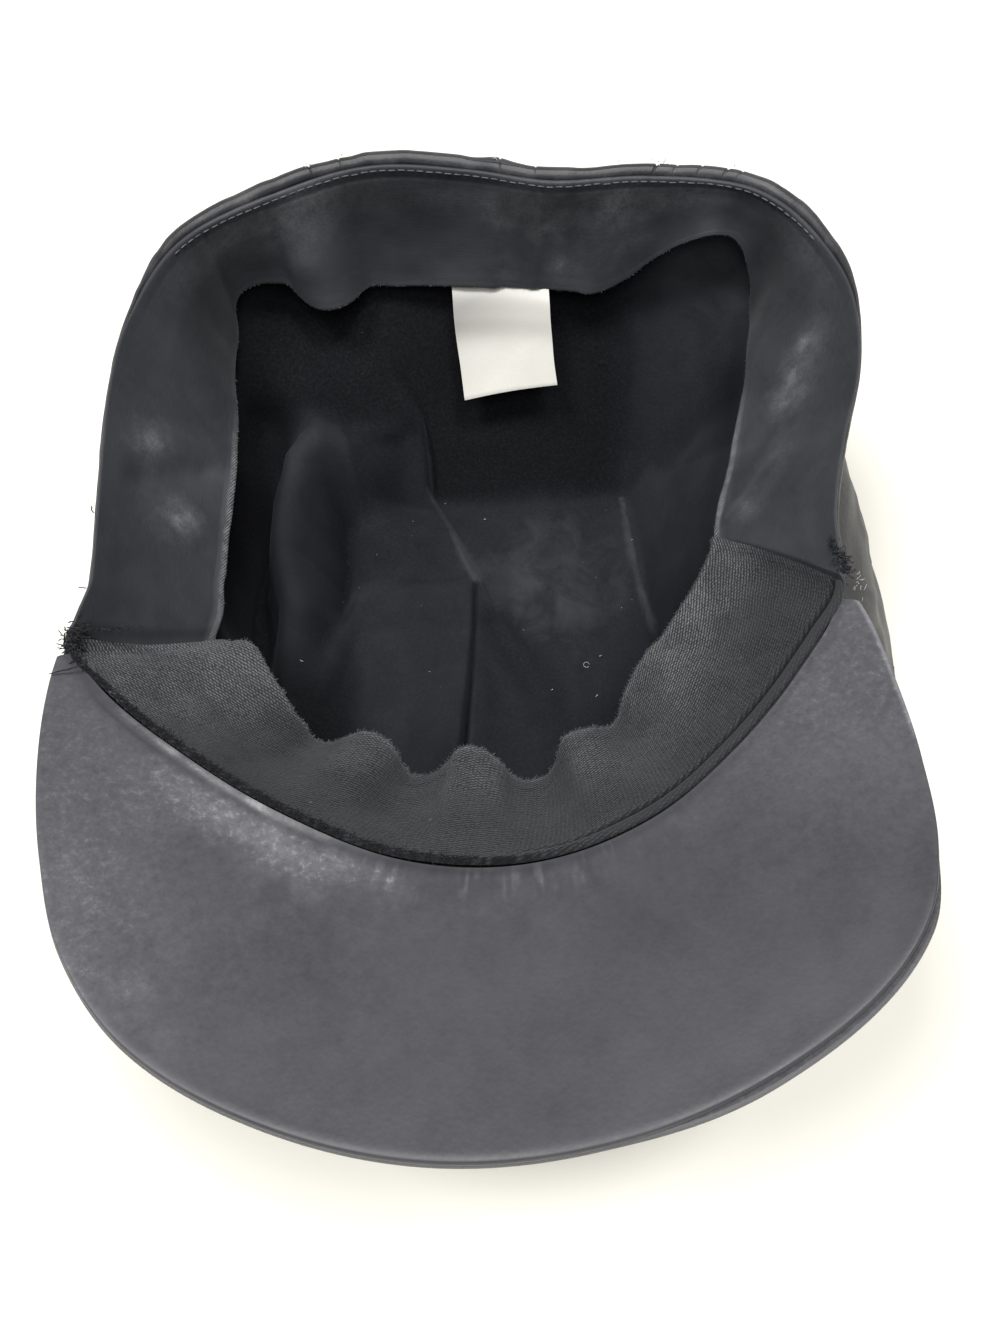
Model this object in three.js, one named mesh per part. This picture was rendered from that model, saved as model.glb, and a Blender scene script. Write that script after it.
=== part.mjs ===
// A black leather biker cap that lies upside down on its crown, with its head opening upwards.
// Millimetres, +Z up out of the opening, -Y towards the peak.
// The origin is the centre of the crown's outer top, on the surface that the cap rests on.
// Angles are degrees round the crown's centre: 0 is the +X side, 90 the rear, 270 the peak.
import * as THREE from "three";

// Heights
const RIM_HEIGHT = 95; // the band's rim, round the sides and the rear
const BAND_BOTTOM = 57; // the seam between the hat band and the crown sides
const BAND_MIDDLE = 74;
const LINING_TOP = 87; // where the lining is caught behind the sweatband
const LINING_KNEE = 61; // where the lining leaves the band and runs in to its floor
const LINING_FLOOR = 7;
const LINING_CLEARANCE = 7; // how far its knee stands outside the sweatband's free edge

// Thicknesses, and the clearance between two sewn pieces
const LEATHER = 2;
const TOP_LEATHER = 1.8;
const LINING_CLOTH = 1;
const COATED_CLOTH = 1.2;
const RIBBED_CLOTH = 1.6;
const LABEL_CLOTH = 0.6;
const PLY_UNDER = 1.4;
const PLY_TOP = 1.6;
const SEAM_GAP = 0.3;

// Crown: a rounded oblong seen from above
const CROWN_HALF_WIDTH = 107;
const CROWN_HALF_LENGTH = 104;
const CROWN_SQUARENESS = 2.8;
const CROWN_REAR_SEAM = 90;
const CROWN_FRONT_SEAM = 270;
const CROWN_SEAM_TURN = 0.1; // half the gap at each of the two seams, in degrees

// Peak: it rises towards its tip, and its sides curl up
const PEAK_START = 204.4;
const PEAK_END = 329.6;
const PEAK_CENTRE_X = -9;
const PEAK_SEAM_FRONT_Y = -86;
const PEAK_SLOPE = Math.tan(THREE.MathUtils.degToRad(17));
const PEAK_BEND_RADIUS = 200;
const PEAK_OVERLAP = 0.9; // how far its plies reach in over the hat band
const PEAK_SEAT = 0.5; // clearance between the plies and the hat band's edge
const PLIES = PLY_UNDER + SEAM_GAP + PLY_TOP;

// Sweatband: where its two lengths meet, at the rim and at the free edge
const JOIN_LEFT = 203.5;
const JOIN_RIGHT_RIM = 333;
const JOIN_RIGHT_EDGE = 347;
const JOIN_GAP = 0.35; // degrees
const JOIN_STEP = 1; // degrees more at the rim, where the front length starts higher
const SWEAT_TOP_REAR = 93.6;
const SWEAT_TOP_FRONT = 95.2;
const SWEAT_INSET_REAR = 4.9;
const SWEAT_INSET_FRONT = 2.6;
const SWEAT_BELLY = 1; // how far it bows out and down between the rim and its free edge

// Mesh steps
const ROUND_STEPS = 60;
const SIDE_STEPS = 31;
const PEAK_STEPS = 33;
const REAR_STEPS = 52;
const FRONT_STEPS = 58;

// The head opening and what hangs in it, a row for each direction round the cap.
// rim: radius of the rim; inset and edge: how far in the sweatband's free edge stands, and its
// height; floor: radius where the lining's wall meets its floor.
const STATIONS = [
  { angle: 0, rim: 77, inset: 24, edge: 71, floor: 45 },
  { angle: 15, rim: 88, inset: 26, edge: 70, floor: 46 },
  { angle: 30, rim: 100, inset: 22, edge: 68, floor: 51 },
  { angle: 45, rim: 105, inset: 9, edge: 65, floor: 58 },
  { angle: 60, rim: 95, inset: 12, edge: 65, floor: 49 },
  { angle: 75, rim: 86, inset: 12, edge: 66, floor: 44 },
  { angle: 90, rim: 89, inset: 16, edge: 67, floor: 43 },
  { angle: 105, rim: 95, inset: 19, edge: 67, floor: 45 },
  { angle: 120, rim: 97, inset: 12, edge: 65, floor: 51 },
  { angle: 135, rim: 99, inset: 14, edge: 65, floor: 65 },
  { angle: 150, rim: 92, inset: 22.5, edge: 68, floor: 70 },
  { angle: 165, rim: 86, inset: 22, edge: 70, floor: 69 },
  { angle: 180, rim: 83.5, inset: 21, edge: 70, floor: 67 },
  { angle: 195, rim: 86.5, inset: 22, edge: 70, floor: 67 },
  { angle: 203, rim: 94, inset: 27, edge: 71, floor: 66 },
  { angle: 210, rim: 93, inset: 29, edge: 72, floor: 65 },
  { angle: 225, rim: 89, inset: 25, edge: 70, floor: 62 },
  { angle: 240, rim: 88, inset: 26, edge: 70, floor: 55 },
  { angle: 255, rim: 89, inset: 27, edge: 70, floor: 50 },
  { angle: 270, rim: 88.5, inset: 27, edge: 70, floor: 49 },
  { angle: 285, rim: 85.5, inset: 27.5, edge: 70, floor: 50 },
  { angle: 300, rim: 81, inset: 27, edge: 70, floor: 54 },
  { angle: 315, rim: 78.5, inset: 29, edge: 72, floor: 56 },
  { angle: 330, rim: 78, inset: 29, edge: 74, floor: 51 },
  { angle: 345, rim: 73.5, inset: 23, edge: 74, floor: 47 },
];

// Reach of the peak's outer edge from the crown's centre
const PEAK_REACH = [
  { angle: 204, reach: 96 },
  { angle: 210, reach: 101.5 },
  { angle: 217, reach: 108.5 },
  { angle: 225, reach: 117.5 },
  { angle: 232, reach: 126 },
  { angle: 240, reach: 132.5 },
  { angle: 250, reach: 135.5 },
  { angle: 262, reach: 136.5 },
  { angle: 275, reach: 134.5 },
  { angle: 286, reach: 131 },
  { angle: 295, reach: 127 },
  { angle: 301, reach: 122 },
  { angle: 306, reach: 114.5 },
  { angle: 312, reach: 104 },
  { angle: 320, reach: 92 },
  { angle: 330, reach: 80.5 },
];

// Waves in the sweatband's free edge: inward is how far the wave pushes it into the hollow,
// and spread is its half width in degrees
const RUFFLES = [
  { angle: 61, inward: 3, spread: 4 },
  { angle: 111, inward: 1, spread: 5 },
  { angle: 119, inward: 2, spread: 4 },
  { angle: 128, inward: -3, spread: 5 },
  { angle: 207, inward: 3, spread: 4 },
  { angle: 230, inward: -5, spread: 6 },
  { angle: 241, inward: 2.5, spread: 4 },
  { angle: 251, inward: -4, spread: 4 },
  { angle: 262, inward: 4, spread: 4 },
  { angle: 273, inward: -5, spread: 4 },
  { angle: 286, inward: 2.5, spread: 4 },
  { angle: 299, inward: -2, spread: 5 },
];
const RUFFLE_RISE = 0.6; // a wave that comes inward also rises

// The crown's profile: blend runs from the crown's widest outline to the rim's, full is the
// share of the widest outline
const CROWN_TOP_PROFILE = [
  { height: 0, full: 0.3 },
  { height: 0, full: 0.6 },
  { height: 0, full: 0.84 },
  { height: 0.9, full: 0.885 },
  { height: 3, full: 0.918 },
];
const CROWN_SIDE_PROFILE = [
  { height: 3.4, full: 0.924, blend: 0 },
  { height: 8, full: 0.972, blend: 0 },
  { height: 16, full: 1, blend: 0 },
  { height: 26, full: 1, blend: 0.07 },
  { height: 36, full: 1, blend: 0.3 },
  { height: 46, full: 1, blend: 0.66 },
  { height: 52, full: 1, blend: 0.88 },
  { height: 56.7, full: 1, blend: 1 },
];

// The rolled hem: down is below the rim, and out and into are how far it stands proud of the
// band's outer and inner faces
const HEM_ROWS = [
  { down: 5, out: 0, into: 0 },
  { down: 2.4, out: 0.6, into: 1.2 },
  { down: 0, out: -0.7, into: -0.6 },
];

// Dents and slack folds in the crown's sides: depth is inward, run is their height in mm and
// spread their half width in degrees
const CROWN_DENTS = [
  { angle: 58, height: 34, depth: 4, run: 14, spread: 12 },
  { angle: 128, height: 30, depth: 5, run: 12, spread: 14 },
  { angle: 196, height: 38, depth: 4, run: 12, spread: 9 },
  { angle: 238, height: 26, depth: 4, run: 12, spread: 12 },
  { angle: 305, height: 34, depth: 4, run: 12, spread: 12 },
  { angle: 95, height: 22, depth: -2, run: 10, spread: 8 },
  { angle: 218, height: 44, depth: -3, run: 9, spread: 7 },
  { angle: 330, height: 22, depth: -2, run: 10, spread: 9 },
];

// Folds in the lining's floor and walls: each is a soft ridge along a line seen from above,
// lifted into the hollow, or sunk where lift is negative
const LINING_FOLDS = [
  { name: "left roll", x0: -50, y0: 22, x1: -55, y1: -16, spread: 9, lift: 20 },
  { name: "left half, puffed up", x0: -28, y0: 26, x1: -30, y1: -30, spread: 17, lift: 11 },
  { name: "rear left lobe", x0: -48, y0: 62, x1: -32, y1: 62, spread: 13, lift: 8 },
  { name: "right side fold", x0: 62, y0: 34, x1: 62, y1: 2, spread: 8, lift: 4 },
  { name: "middle of the floor", x0: 16, y0: 24, x1: 18, y1: -24, spread: 15, lift: 2 },
  { name: "front pucker", x0: -20, y0: -60, x1: 22, y1: -62, spread: 9, lift: 4 },
];

// Label: its left and right edges, from its sewn top down to its free lower edge. Its height is
// given at the left edge, and slant is how much higher the right edge is.
const LABEL_ROWS = [
  { left: -4.6, right: 21.4, height: 70.5, slant: 0 },
  { left: -4.5, right: 21.6, height: 64.5, slant: 0.6 },
  { left: -4.2, right: 21.9, height: 58, slant: 1.3 },
  { left: -3.9, right: 22.2, height: 51, slant: 2 },
  { left: -3.5, right: 22.6, height: 44, slant: 3 },
  { left: -3.1, right: 23, height: 37.5, slant: 4 },
];
const LABEL_STEPS = 6;
const LABEL_OFF_WALL = 1.1;
const LABEL_BACK = 75; // about how far behind the crown's centre it hangs

const { smoothstep, lerp, degToRad } = THREE.MathUtils;

// Smooth value of a table's column at an angle. Tables that go all the way round repeat.
function valueAt(rows, column, angle, wraps) {
  const count = rows.length;
  const row = (k) => rows[wraps ? (k + count) % count : Math.min(Math.max(k, 0), count - 1)];
  const place = (k) => row(k).angle + (wraps ? 360 * Math.floor(k / count) : 0);
  const wanted = wraps ? ((angle % 360) + 360) % 360 : angle;
  let k = 0;
  while (k < count - (wraps ? 1 : 2) && place(k + 1) <= wanted) k += 1;
  const width = place(k + 1) - place(k);
  const t = (wanted - place(k)) / width;
  const slope = (m) => {
    const span = place(m + 1) - place(m - 1);
    return span > 0 ? (row(m + 1)[column] - row(m - 1)[column]) / span : 0;
  };
  const from = row(k)[column];
  const to = row(k + 1)[column];
  const rise = t * t * (3 - 2 * t);
  return (
    from + (to - from) * rise +
    width * t * (1 - t) * ((1 - t) * slope(k) - t * slope(k + 1))
  );
}

const station = (column, angle) => valueAt(STATIONS, column, angle, true);
const rimRadius = (angle) => station("rim", angle);

// Bell curve that is 1 on its middle and fades over its spread
const bell = (offset, spread) => Math.exp(-((offset / spread) ** 2));
const turnBetween = (a, b) => ((a - b + 540) % 360) - 180;

function pointAt(angle, radius, height) {
  const turn = degToRad(angle);
  return new THREE.Vector3(radius * Math.cos(turn), radius * Math.sin(turn), height);
}

// Widest outline of the crown
function crownRadius(angle) {
  const turn = degToRad(angle);
  const across = Math.abs(Math.cos(turn)) / CROWN_HALF_WIDTH;
  const along = Math.abs(Math.sin(turn)) / CROWN_HALF_LENGTH;
  const power = CROWN_SQUARENESS;
  return (across ** power + along ** power) ** (-1 / power);
}

// Height of the peak's upper face, which is its underside when the cap is worn
function peakHeight(x, y) {
  const rise = PEAK_SLOPE * (PEAK_SEAM_FRONT_Y - y);
  const curl = (x - PEAK_CENTRE_X) ** 2 / (2 * PEAK_BEND_RADIUS);
  return RIM_HEIGHT + rise + curl;
}

// 1 round the sides and rear, 0 under the peak
function clearOfPeak(angle) {
  const wanted = ((angle % 360) + 360) % 360;
  const fade = 4;
  const start = smoothstep(wanted, PEAK_START - fade, PEAK_START - 1);
  const end = smoothstep(wanted, PEAK_END + 1, PEAK_END + fade);
  return 1 - start + start * end;
}

// Free edge of the sweatband, with its waves
function sweatEdge(angle) {
  let wave = 0;
  for (const ruffle of RUFFLES) {
    wave += ruffle.inward * bell(turnBetween(angle, ruffle.angle), ruffle.spread);
  }
  return {
    radius: rimRadius(angle) - station("inset", angle) - wave,
    height: station("edge", angle) + RUFFLE_RISE * wave,
  };
}

// A grid of points moved along its own normals, into the hollow where distance is positive.
// A grid is a list of columns, each a list of points from the rim down. A grid that isn't round
// moves within its columns' own upright planes, so its two ends stay where they are.
function movedIn(face, distance, round) {
  const columns = face.length;
  return face.map((column, i) =>
    column.map((point, j) => {
      const across = new THREE.Vector3(-point.y, point.x, 0);
      if (round) across.subVectors(face[(i + 1) % columns][j], face[(i + columns - 1) % columns][j]);
      const down = new THREE.Vector3();
      down.subVectors(column[Math.min(j + 1, column.length - 1)], column[Math.max(j - 1, 0)]);
      if (!round) down.addScaledVector(across, -down.dot(across) / across.lengthSq());
      return point.clone().addScaledVector(across.cross(down).normalize(), distance);
    }),
  );
}

// One closed solid between two faces with the same grid. A round wall's columns go all the way
// round, and one with poles closes its last row on a pole point in each face.
function wallSolid(face, back, { round = false, poles = null } = {}) {
  const columns = face.length;
  const rows = face[0].length;
  const points = [...face.flat(), ...back.flat()];
  if (poles) points.push(...poles);
  const near = (i, j) => (i % columns) * rows + j;
  const far = (i, j) => columns * rows + near(i, j);
  const triangles = [];
  const quad = (a, b, c, d) => triangles.push(a, b, c, a, c, d);
  const spans = round ? columns : columns - 1;
  for (let i = 0; i < spans; i += 1) {
    for (let j = 0; j < rows - 1; j += 1) {
      quad(near(i, j), near(i + 1, j), near(i + 1, j + 1), near(i, j + 1));
      quad(far(i, j), far(i, j + 1), far(i + 1, j + 1), far(i + 1, j));
    }
    quad(near(i, 0), far(i, 0), far(i + 1, 0), near(i + 1, 0));
    const j = rows - 1;
    if (poles) {
      const [nearPole, farPole] = [points.length - 2, points.length - 1];
      triangles.push(near(i, j), near(i + 1, j), nearPole);
      triangles.push(far(i + 1, j), far(i, j), farPole);
    } else {
      quad(near(i, j), near(i + 1, j), far(i + 1, j), far(i, j));
    }
  }
  if (!round) {
    const i = columns - 1;
    for (let j = 0; j < rows - 1; j += 1) {
      quad(near(0, j), near(0, j + 1), far(0, j + 1), far(0, j));
      quad(near(i, j), far(i, j), far(i, j + 1), near(i, j + 1));
    }
  }
  faceOutwards(points, triangles);
  const geometry = new THREE.BufferGeometry().setFromPoints(points);
  geometry.setIndex(triangles);
  geometry.computeVertexNormals();
  return geometry;
}

// Turns every triangle over where the solid would be inside out
function faceOutwards(points, triangles) {
  let volume = 0;
  for (let t = 0; t < triangles.length; t += 3) {
    const [a, b, c] = [0, 1, 2].map((corner) => points[triangles[t + corner]]);
    volume += a.dot(b.clone().cross(c));
  }
  if (volume < 0) triangles.reverse();
}

// A grid of points from a rule for each column's share and each row
function gridOf(columns, rows, rule) {
  return Array.from({ length: columns }, (_, i) =>
    Array.from({ length: rows }, (_, j) => rule(i, j)),
  );
}

// Inner face of the crown's leather, a thickness in from its outer face within each column.
// Columns run up the crown's profile, or down it where upwards is false.
function insideCrown(face, upwards) {
  return face.map((column) =>
    column.map((point, j) => {
      const before = column[Math.max(j - 1, 0)];
      const after = column[Math.min(j + 1, column.length - 1)];
      const outward = Math.hypot(after.x, after.y) - Math.hypot(before.x, before.y);
      const slope = Math.atan2(after.z - before.z, outward) + (upwards ? 0 : Math.PI);
      const radius = Math.hypot(point.x, point.y);
      const shrink = (radius - TOP_LEATHER * Math.sin(slope)) / radius;
      const height = point.z + TOP_LEATHER * Math.cos(slope);
      return new THREE.Vector3(point.x * shrink, point.y * shrink, height);
    }),
  );
}

function crownTop() {
  const profile = [...CROWN_TOP_PROFILE].reverse();
  const face = gridOf(ROUND_STEPS, profile.length, (i, j) => {
    const angle = (360 * i) / ROUND_STEPS;
    return pointAt(angle, crownRadius(angle) * profile[j].full, profile[j].height);
  });
  const poles = [new THREE.Vector3(0, 0, 0), new THREE.Vector3(0, 0, TOP_LEATHER)];
  return wallSolid(face, insideCrown(face, false), { round: true, poles });
}

// How far the dents push the crown's side in at one place
function crownDent(angle, height) {
  let depth = 0;
  for (const dent of CROWN_DENTS) {
    const across = bell(turnBetween(angle, dent.angle), dent.spread);
    depth += dent.depth * across * bell(height - dent.height, dent.run);
  }
  const seamFade = Math.sin(Math.PI * smoothstep(height, 0, BAND_BOTTOM));
  return depth * seamFade;
}

function crownSide(fromAngle, toAngle) {
  const face = gridOf(SIDE_STEPS, CROWN_SIDE_PROFILE.length, (i, j) => {
    const { height, full, blend } = CROWN_SIDE_PROFILE[j];
    const share = i / (SIDE_STEPS - 1);
    const angle = lerp(fromAngle + CROWN_SEAM_TURN, toAngle - CROWN_SEAM_TURN, share);
    const radius = lerp(crownRadius(angle) * full, rimRadius(angle), blend);
    return pointAt(angle, radius - crownDent(angle, height), height);
  });
  return wallSolid(face, insideCrown(face, true));
}

// The upright band. Round the sides and rear its top is rolled into a hem that stands proud on
// both faces, and under the peak it stops below the plies.
function hatBand() {
  const wallHeights = [BAND_BOTTOM, BAND_MIDDLE];
  const rows = wallHeights.length + HEM_ROWS.length;
  const rule = (inner) => (i, j) => {
    const angle = (360 * i) / ROUND_STEPS;
    const hem = clearOfPeak(angle);
    const rim = rimRadius(angle);
    const seam = pointAt(angle, rim, 0);
    const underPeak = peakHeight(seam.x, seam.y) - PLIES - PEAK_SEAT;
    const top = lerp(underPeak, RIM_HEIGHT, hem);
    const radius = inner ? rim - LEATHER : rim;
    if (j < wallHeights.length) return pointAt(angle, radius, wallHeights[j]);
    const { down, out, into } = HEM_ROWS[j - wallHeights.length];
    return pointAt(angle, radius + (inner ? -into : out) * hem, top - down);
  };
  const face = gridOf(ROUND_STEPS, rows, rule(false));
  const back = gridOf(ROUND_STEPS, rows, rule(true));
  return wallSolid(face, back, { round: true });
}

// One ply of the peak, whose upper face lies below the peak's by depth
function peakPly(depth, thickness) {
  const rows = 6;
  const face = gridOf(PEAK_STEPS, rows, (i, j) => {
    const angle = lerp(PEAK_START, PEAK_END, i / (PEAK_STEPS - 1));
    const reach = valueAt(PEAK_REACH, "reach", angle, false);
    const radius = lerp(rimRadius(angle) - PEAK_OVERLAP, reach, j / (rows - 1));
    const point = pointAt(angle, radius, 0);
    point.z = peakHeight(point.x, point.y) - depth;
    return point;
  });
  const drop = new THREE.Vector3(0, 0, -thickness);
  const back = face.map((column) => column.map((point) => point.clone().add(drop)));
  return wallSolid(face, back);
}

// A length of the sweatband. Each end is given at the rim and at the free edge.
function sweatband({ start, end, steps, top, inset, cloth }) {
  const rows = 5;
  const face = gridOf(steps, rows, (i, j) => {
    const down = j / (rows - 1);
    const from = lerp(start.rim, start.edge, down);
    const to = lerp(end.rim, end.edge, down);
    const angle = lerp(from, to, i / (steps - 1));
    const edge = sweatEdge(angle);
    const belly = SWEAT_BELLY * Math.sin(Math.PI * down);
    const radius = lerp(rimRadius(angle) - inset, edge.radius, down);
    return pointAt(angle, radius + belly, lerp(top, edge.height, down) - belly);
  });
  return wallSolid(face, movedIn(face, -cloth, false));
}

// How far the folds lift the lining at a place seen from above
function foldLift(x, y) {
  let lift = 0;
  for (const fold of LINING_FOLDS) {
    const along = new THREE.Vector2(fold.x1 - fold.x0, fold.y1 - fold.y0);
    const place = new THREE.Vector2(x - fold.x0, y - fold.y0);
    const share = THREE.MathUtils.clamp(place.dot(along) / along.lengthSq(), 0, 1);
    lift += fold.lift * bell(place.addScaledVector(along, -share).length(), fold.spread);
  }
  return lift;
}

// Rows of the lining's inner face, down its wall and in across its floor. up is how far a fold
// lifts that row straight up, the rest being square to the wall, and held keeps it flat.
const LINING_ROWS = [
  { wall: 0, up: 0, held: 1 },
  { wall: 0.5, up: 0, held: 1 },
  { wall: 1, up: 0, held: 0.6 },
  { wall: 1.3, up: 0, held: 0 },
  { wall: 1.6, up: 0.2, held: 0 },
  { wall: 1.85, up: 0.6, held: 0 },
  { floor: 1, up: 1, held: 0 },
  { floor: 0.92, up: 1, held: 0 },
  { floor: 0.84, up: 1, held: 0 },
  { floor: 0.76, up: 1, held: 0 },
  { floor: 0.66, up: 1, held: 0 },
  { floor: 0.5, up: 1, held: 0 },
  { floor: 0.25, up: 1, held: 0 },
];

function liningRadii(angle) {
  const top = rimRadius(angle) - LEATHER - LINING_CLOTH - 2 * SEAM_GAP;
  const knee = Math.min(top, rimRadius(angle) - station("inset", angle) + LINING_CLEARANCE);
  return { top, knee, floor: station("floor", angle) };
}

function liningPoint(angle, { wall, floor }) {
  const radii = liningRadii(angle);
  if (floor !== undefined) return pointAt(angle, radii.floor * floor, LINING_FLOOR);
  if (wall <= 1) {
    return pointAt(angle, lerp(radii.top, radii.knee, wall), lerp(LINING_TOP, LINING_KNEE, wall));
  }
  const down = wall - 1;
  return pointAt(angle, lerp(radii.knee, radii.floor, down), lerp(LINING_KNEE, LINING_FLOOR, down));
}

function lining() {
  const plain = gridOf(ROUND_STEPS, LINING_ROWS.length, (i, j) =>
    liningPoint((360 * i) / ROUND_STEPS, LINING_ROWS[j]),
  );
  const inward = movedIn(plain, 1, true);
  const upward = new THREE.Vector3(0, 0, 1);
  const face = plain.map((column, i) =>
    column.map((point, j) => {
      const { up, held } = LINING_ROWS[j];
      const direction = inward[i][j].clone().sub(point).lerp(upward, up);
      return point.clone().addScaledVector(direction, foldLift(point.x, point.y) * (1 - held));
    }),
  );
  const back = movedIn(face, -LINING_CLOTH, true);
  const middle = LINING_FLOOR + foldLift(0, 0);
  const poles = [
    new THREE.Vector3(0, 0, middle),
    new THREE.Vector3(0, 0, middle - LINING_CLOTH),
  ];
  return wallSolid(face, back, { round: true, poles });
}

// Radius of the lining's wall at a height, before its folds
function liningWallRadius(angle, height) {
  const radii = liningRadii(angle);
  if (height >= LINING_KNEE) {
    return lerp(radii.knee, radii.top, (height - LINING_KNEE) / (LINING_TOP - LINING_KNEE));
  }
  return lerp(radii.floor, radii.knee, (height - LINING_FLOOR) / (LINING_KNEE - LINING_FLOOR));
}

function sizeLabel() {
  const face = gridOf(LABEL_STEPS, LABEL_ROWS.length, (i, j) => {
    const { left, right, slant } = LABEL_ROWS[j];
    const share = i / (LABEL_STEPS - 1);
    const x = lerp(left, right, share);
    const height = LABEL_ROWS[j].height + slant * share;
    const angle = THREE.MathUtils.radToDeg(Math.atan2(LABEL_BACK, x));
    const radius = liningWallRadius(angle, height) - LABEL_OFF_WALL;
    const y = Math.sqrt(radius ** 2 - x ** 2);
    return new THREE.Vector3(x, y, height);
  });
  const towardsHead = new THREE.Vector3(0, -LABEL_CLOTH, 0);
  const back = face.map((column) => column.map((point) => point.clone().add(towardsHead)));
  return wallSolid(face, back);
}

const LEATHER_LOOK = { color: 0x34343a, roughness: 0.5 };
const PEAK_LOOK = { color: 0x4c4c52, roughness: 0.55 };
const COATED_LOOK = { color: 0x2e2e34, roughness: 0.7 };
const RIBBED_LOOK = { color: 0x262629, roughness: 0.95 };
const LINING_LOOK = { color: 0x131316, roughness: 0.95 };
const LABEL_LOOK = { color: 0xd8d0c2, roughness: 0.6 };

const cap = new THREE.Group();

function addPiece(name, geometry, look) {
  const mesh = new THREE.Mesh(geometry, new THREE.MeshStandardMaterial({ ...look, metalness: 0 }));
  mesh.name = name;
  cap.add(mesh);
}

addPiece("crown_top", crownTop(), LEATHER_LOOK);
addPiece("crown_side_right", crownSide(CROWN_FRONT_SEAM - 360, CROWN_REAR_SEAM), LEATHER_LOOK);
addPiece("crown_side_left", crownSide(CROWN_REAR_SEAM, CROWN_FRONT_SEAM), LEATHER_LOOK);
addPiece("hat_band", hatBand(), LEATHER_LOOK);
addPiece("visor_under", peakPly(0, PLY_UNDER), PEAK_LOOK);
addPiece("visor_top", peakPly(PLY_UNDER + SEAM_GAP, PLY_TOP), LEATHER_LOOK);

const rearBand = sweatband({
  start: { rim: JOIN_RIGHT_RIM + JOIN_GAP - 360, edge: JOIN_RIGHT_EDGE + JOIN_GAP - 360 },
  end: { rim: JOIN_LEFT - JOIN_GAP, edge: JOIN_LEFT - JOIN_GAP },
  steps: REAR_STEPS,
  top: SWEAT_TOP_REAR,
  inset: SWEAT_INSET_REAR,
  cloth: COATED_CLOTH,
});
const frontBand = sweatband({
  start: { rim: JOIN_LEFT, edge: JOIN_LEFT },
  end: { rim: JOIN_RIGHT_RIM - JOIN_STEP, edge: JOIN_RIGHT_EDGE },
  steps: FRONT_STEPS,
  top: SWEAT_TOP_FRONT,
  inset: SWEAT_INSET_FRONT,
  cloth: RIBBED_CLOTH,
});
addPiece("sweatband_rear", rearBand, COATED_LOOK);
addPiece("sweatband_front", frontBand, RIBBED_LOOK);
addPiece("lining", lining(), LINING_LOOK);
addPiece("size_label", sizeLabel(), LABEL_LOOK);

export default cap;
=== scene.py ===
"""A black leather biker cap, upside down on its crown, dressed round its CAD solids.

Lengths are in millimetres here and become metres where a mesh is made. The frame is the part's:
+Z up out of the head opening, -Y towards the peak, angles in degrees round the crown's centre.
"""

import math
from itertools import product

import bpy
import numpy as np
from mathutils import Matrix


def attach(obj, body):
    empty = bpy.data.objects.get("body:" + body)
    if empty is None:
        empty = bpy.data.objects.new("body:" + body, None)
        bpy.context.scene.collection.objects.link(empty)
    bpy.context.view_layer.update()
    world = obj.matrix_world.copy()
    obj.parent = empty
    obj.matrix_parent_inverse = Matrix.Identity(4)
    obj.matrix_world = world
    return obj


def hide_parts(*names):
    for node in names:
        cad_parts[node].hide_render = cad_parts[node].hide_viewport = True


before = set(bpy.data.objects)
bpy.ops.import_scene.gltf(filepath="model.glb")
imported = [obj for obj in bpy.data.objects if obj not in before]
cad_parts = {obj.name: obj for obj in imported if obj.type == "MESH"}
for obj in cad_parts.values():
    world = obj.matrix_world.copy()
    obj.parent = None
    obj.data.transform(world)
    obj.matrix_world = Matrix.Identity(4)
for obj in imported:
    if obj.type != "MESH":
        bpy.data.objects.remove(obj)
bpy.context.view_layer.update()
MM = 0.001
FINE_STEPS = 8000
THREAD_TAPER = 0.55

# ---- Sizes, as in the part's source, and tables ----

# The free edges of the sweatband, the label's rows and all that the later sections hold follow the
# photograph more closely than the part's source does.

RIM_HEIGHT = 95.0
BAND_BOTTOM = 57.0
LINING_TOP = 87.0
LINING_KNEE = 61.0
LINING_FLOOR = 7.0
LINING_CLEARANCE = 7.0
LEATHER = 2.0
TOP_LEATHER = 1.8
LINING_CLOTH = 1.0
COATED_CLOTH = 1.2
RIBBED_CLOTH = 1.6
PLY_UNDER = 1.4
PLY_TOP = 1.6
SEAM_GAP = 0.3
CROWN_HALF_WIDTH = 107.0
CROWN_HALF_LENGTH = 104.0
CROWN_SQUARENESS = 2.8
PEAK_START = 204.4
PEAK_END = 329.6
PEAK_CENTRE_X = -9.0
PEAK_SEAM_FRONT_Y = -86.0
PEAK_SLOPE = math.tan(math.radians(17))
PEAK_BEND_RADIUS = 200.0
PEAK_OVERLAP = 0.9
PEAK_SEAT = 0.5
JOIN_LEFT = 203.5
JOIN_RIGHT_RIM = 333.0
JOIN_RIGHT_EDGE = 347.0
JOIN_STEP = 1.0

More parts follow.
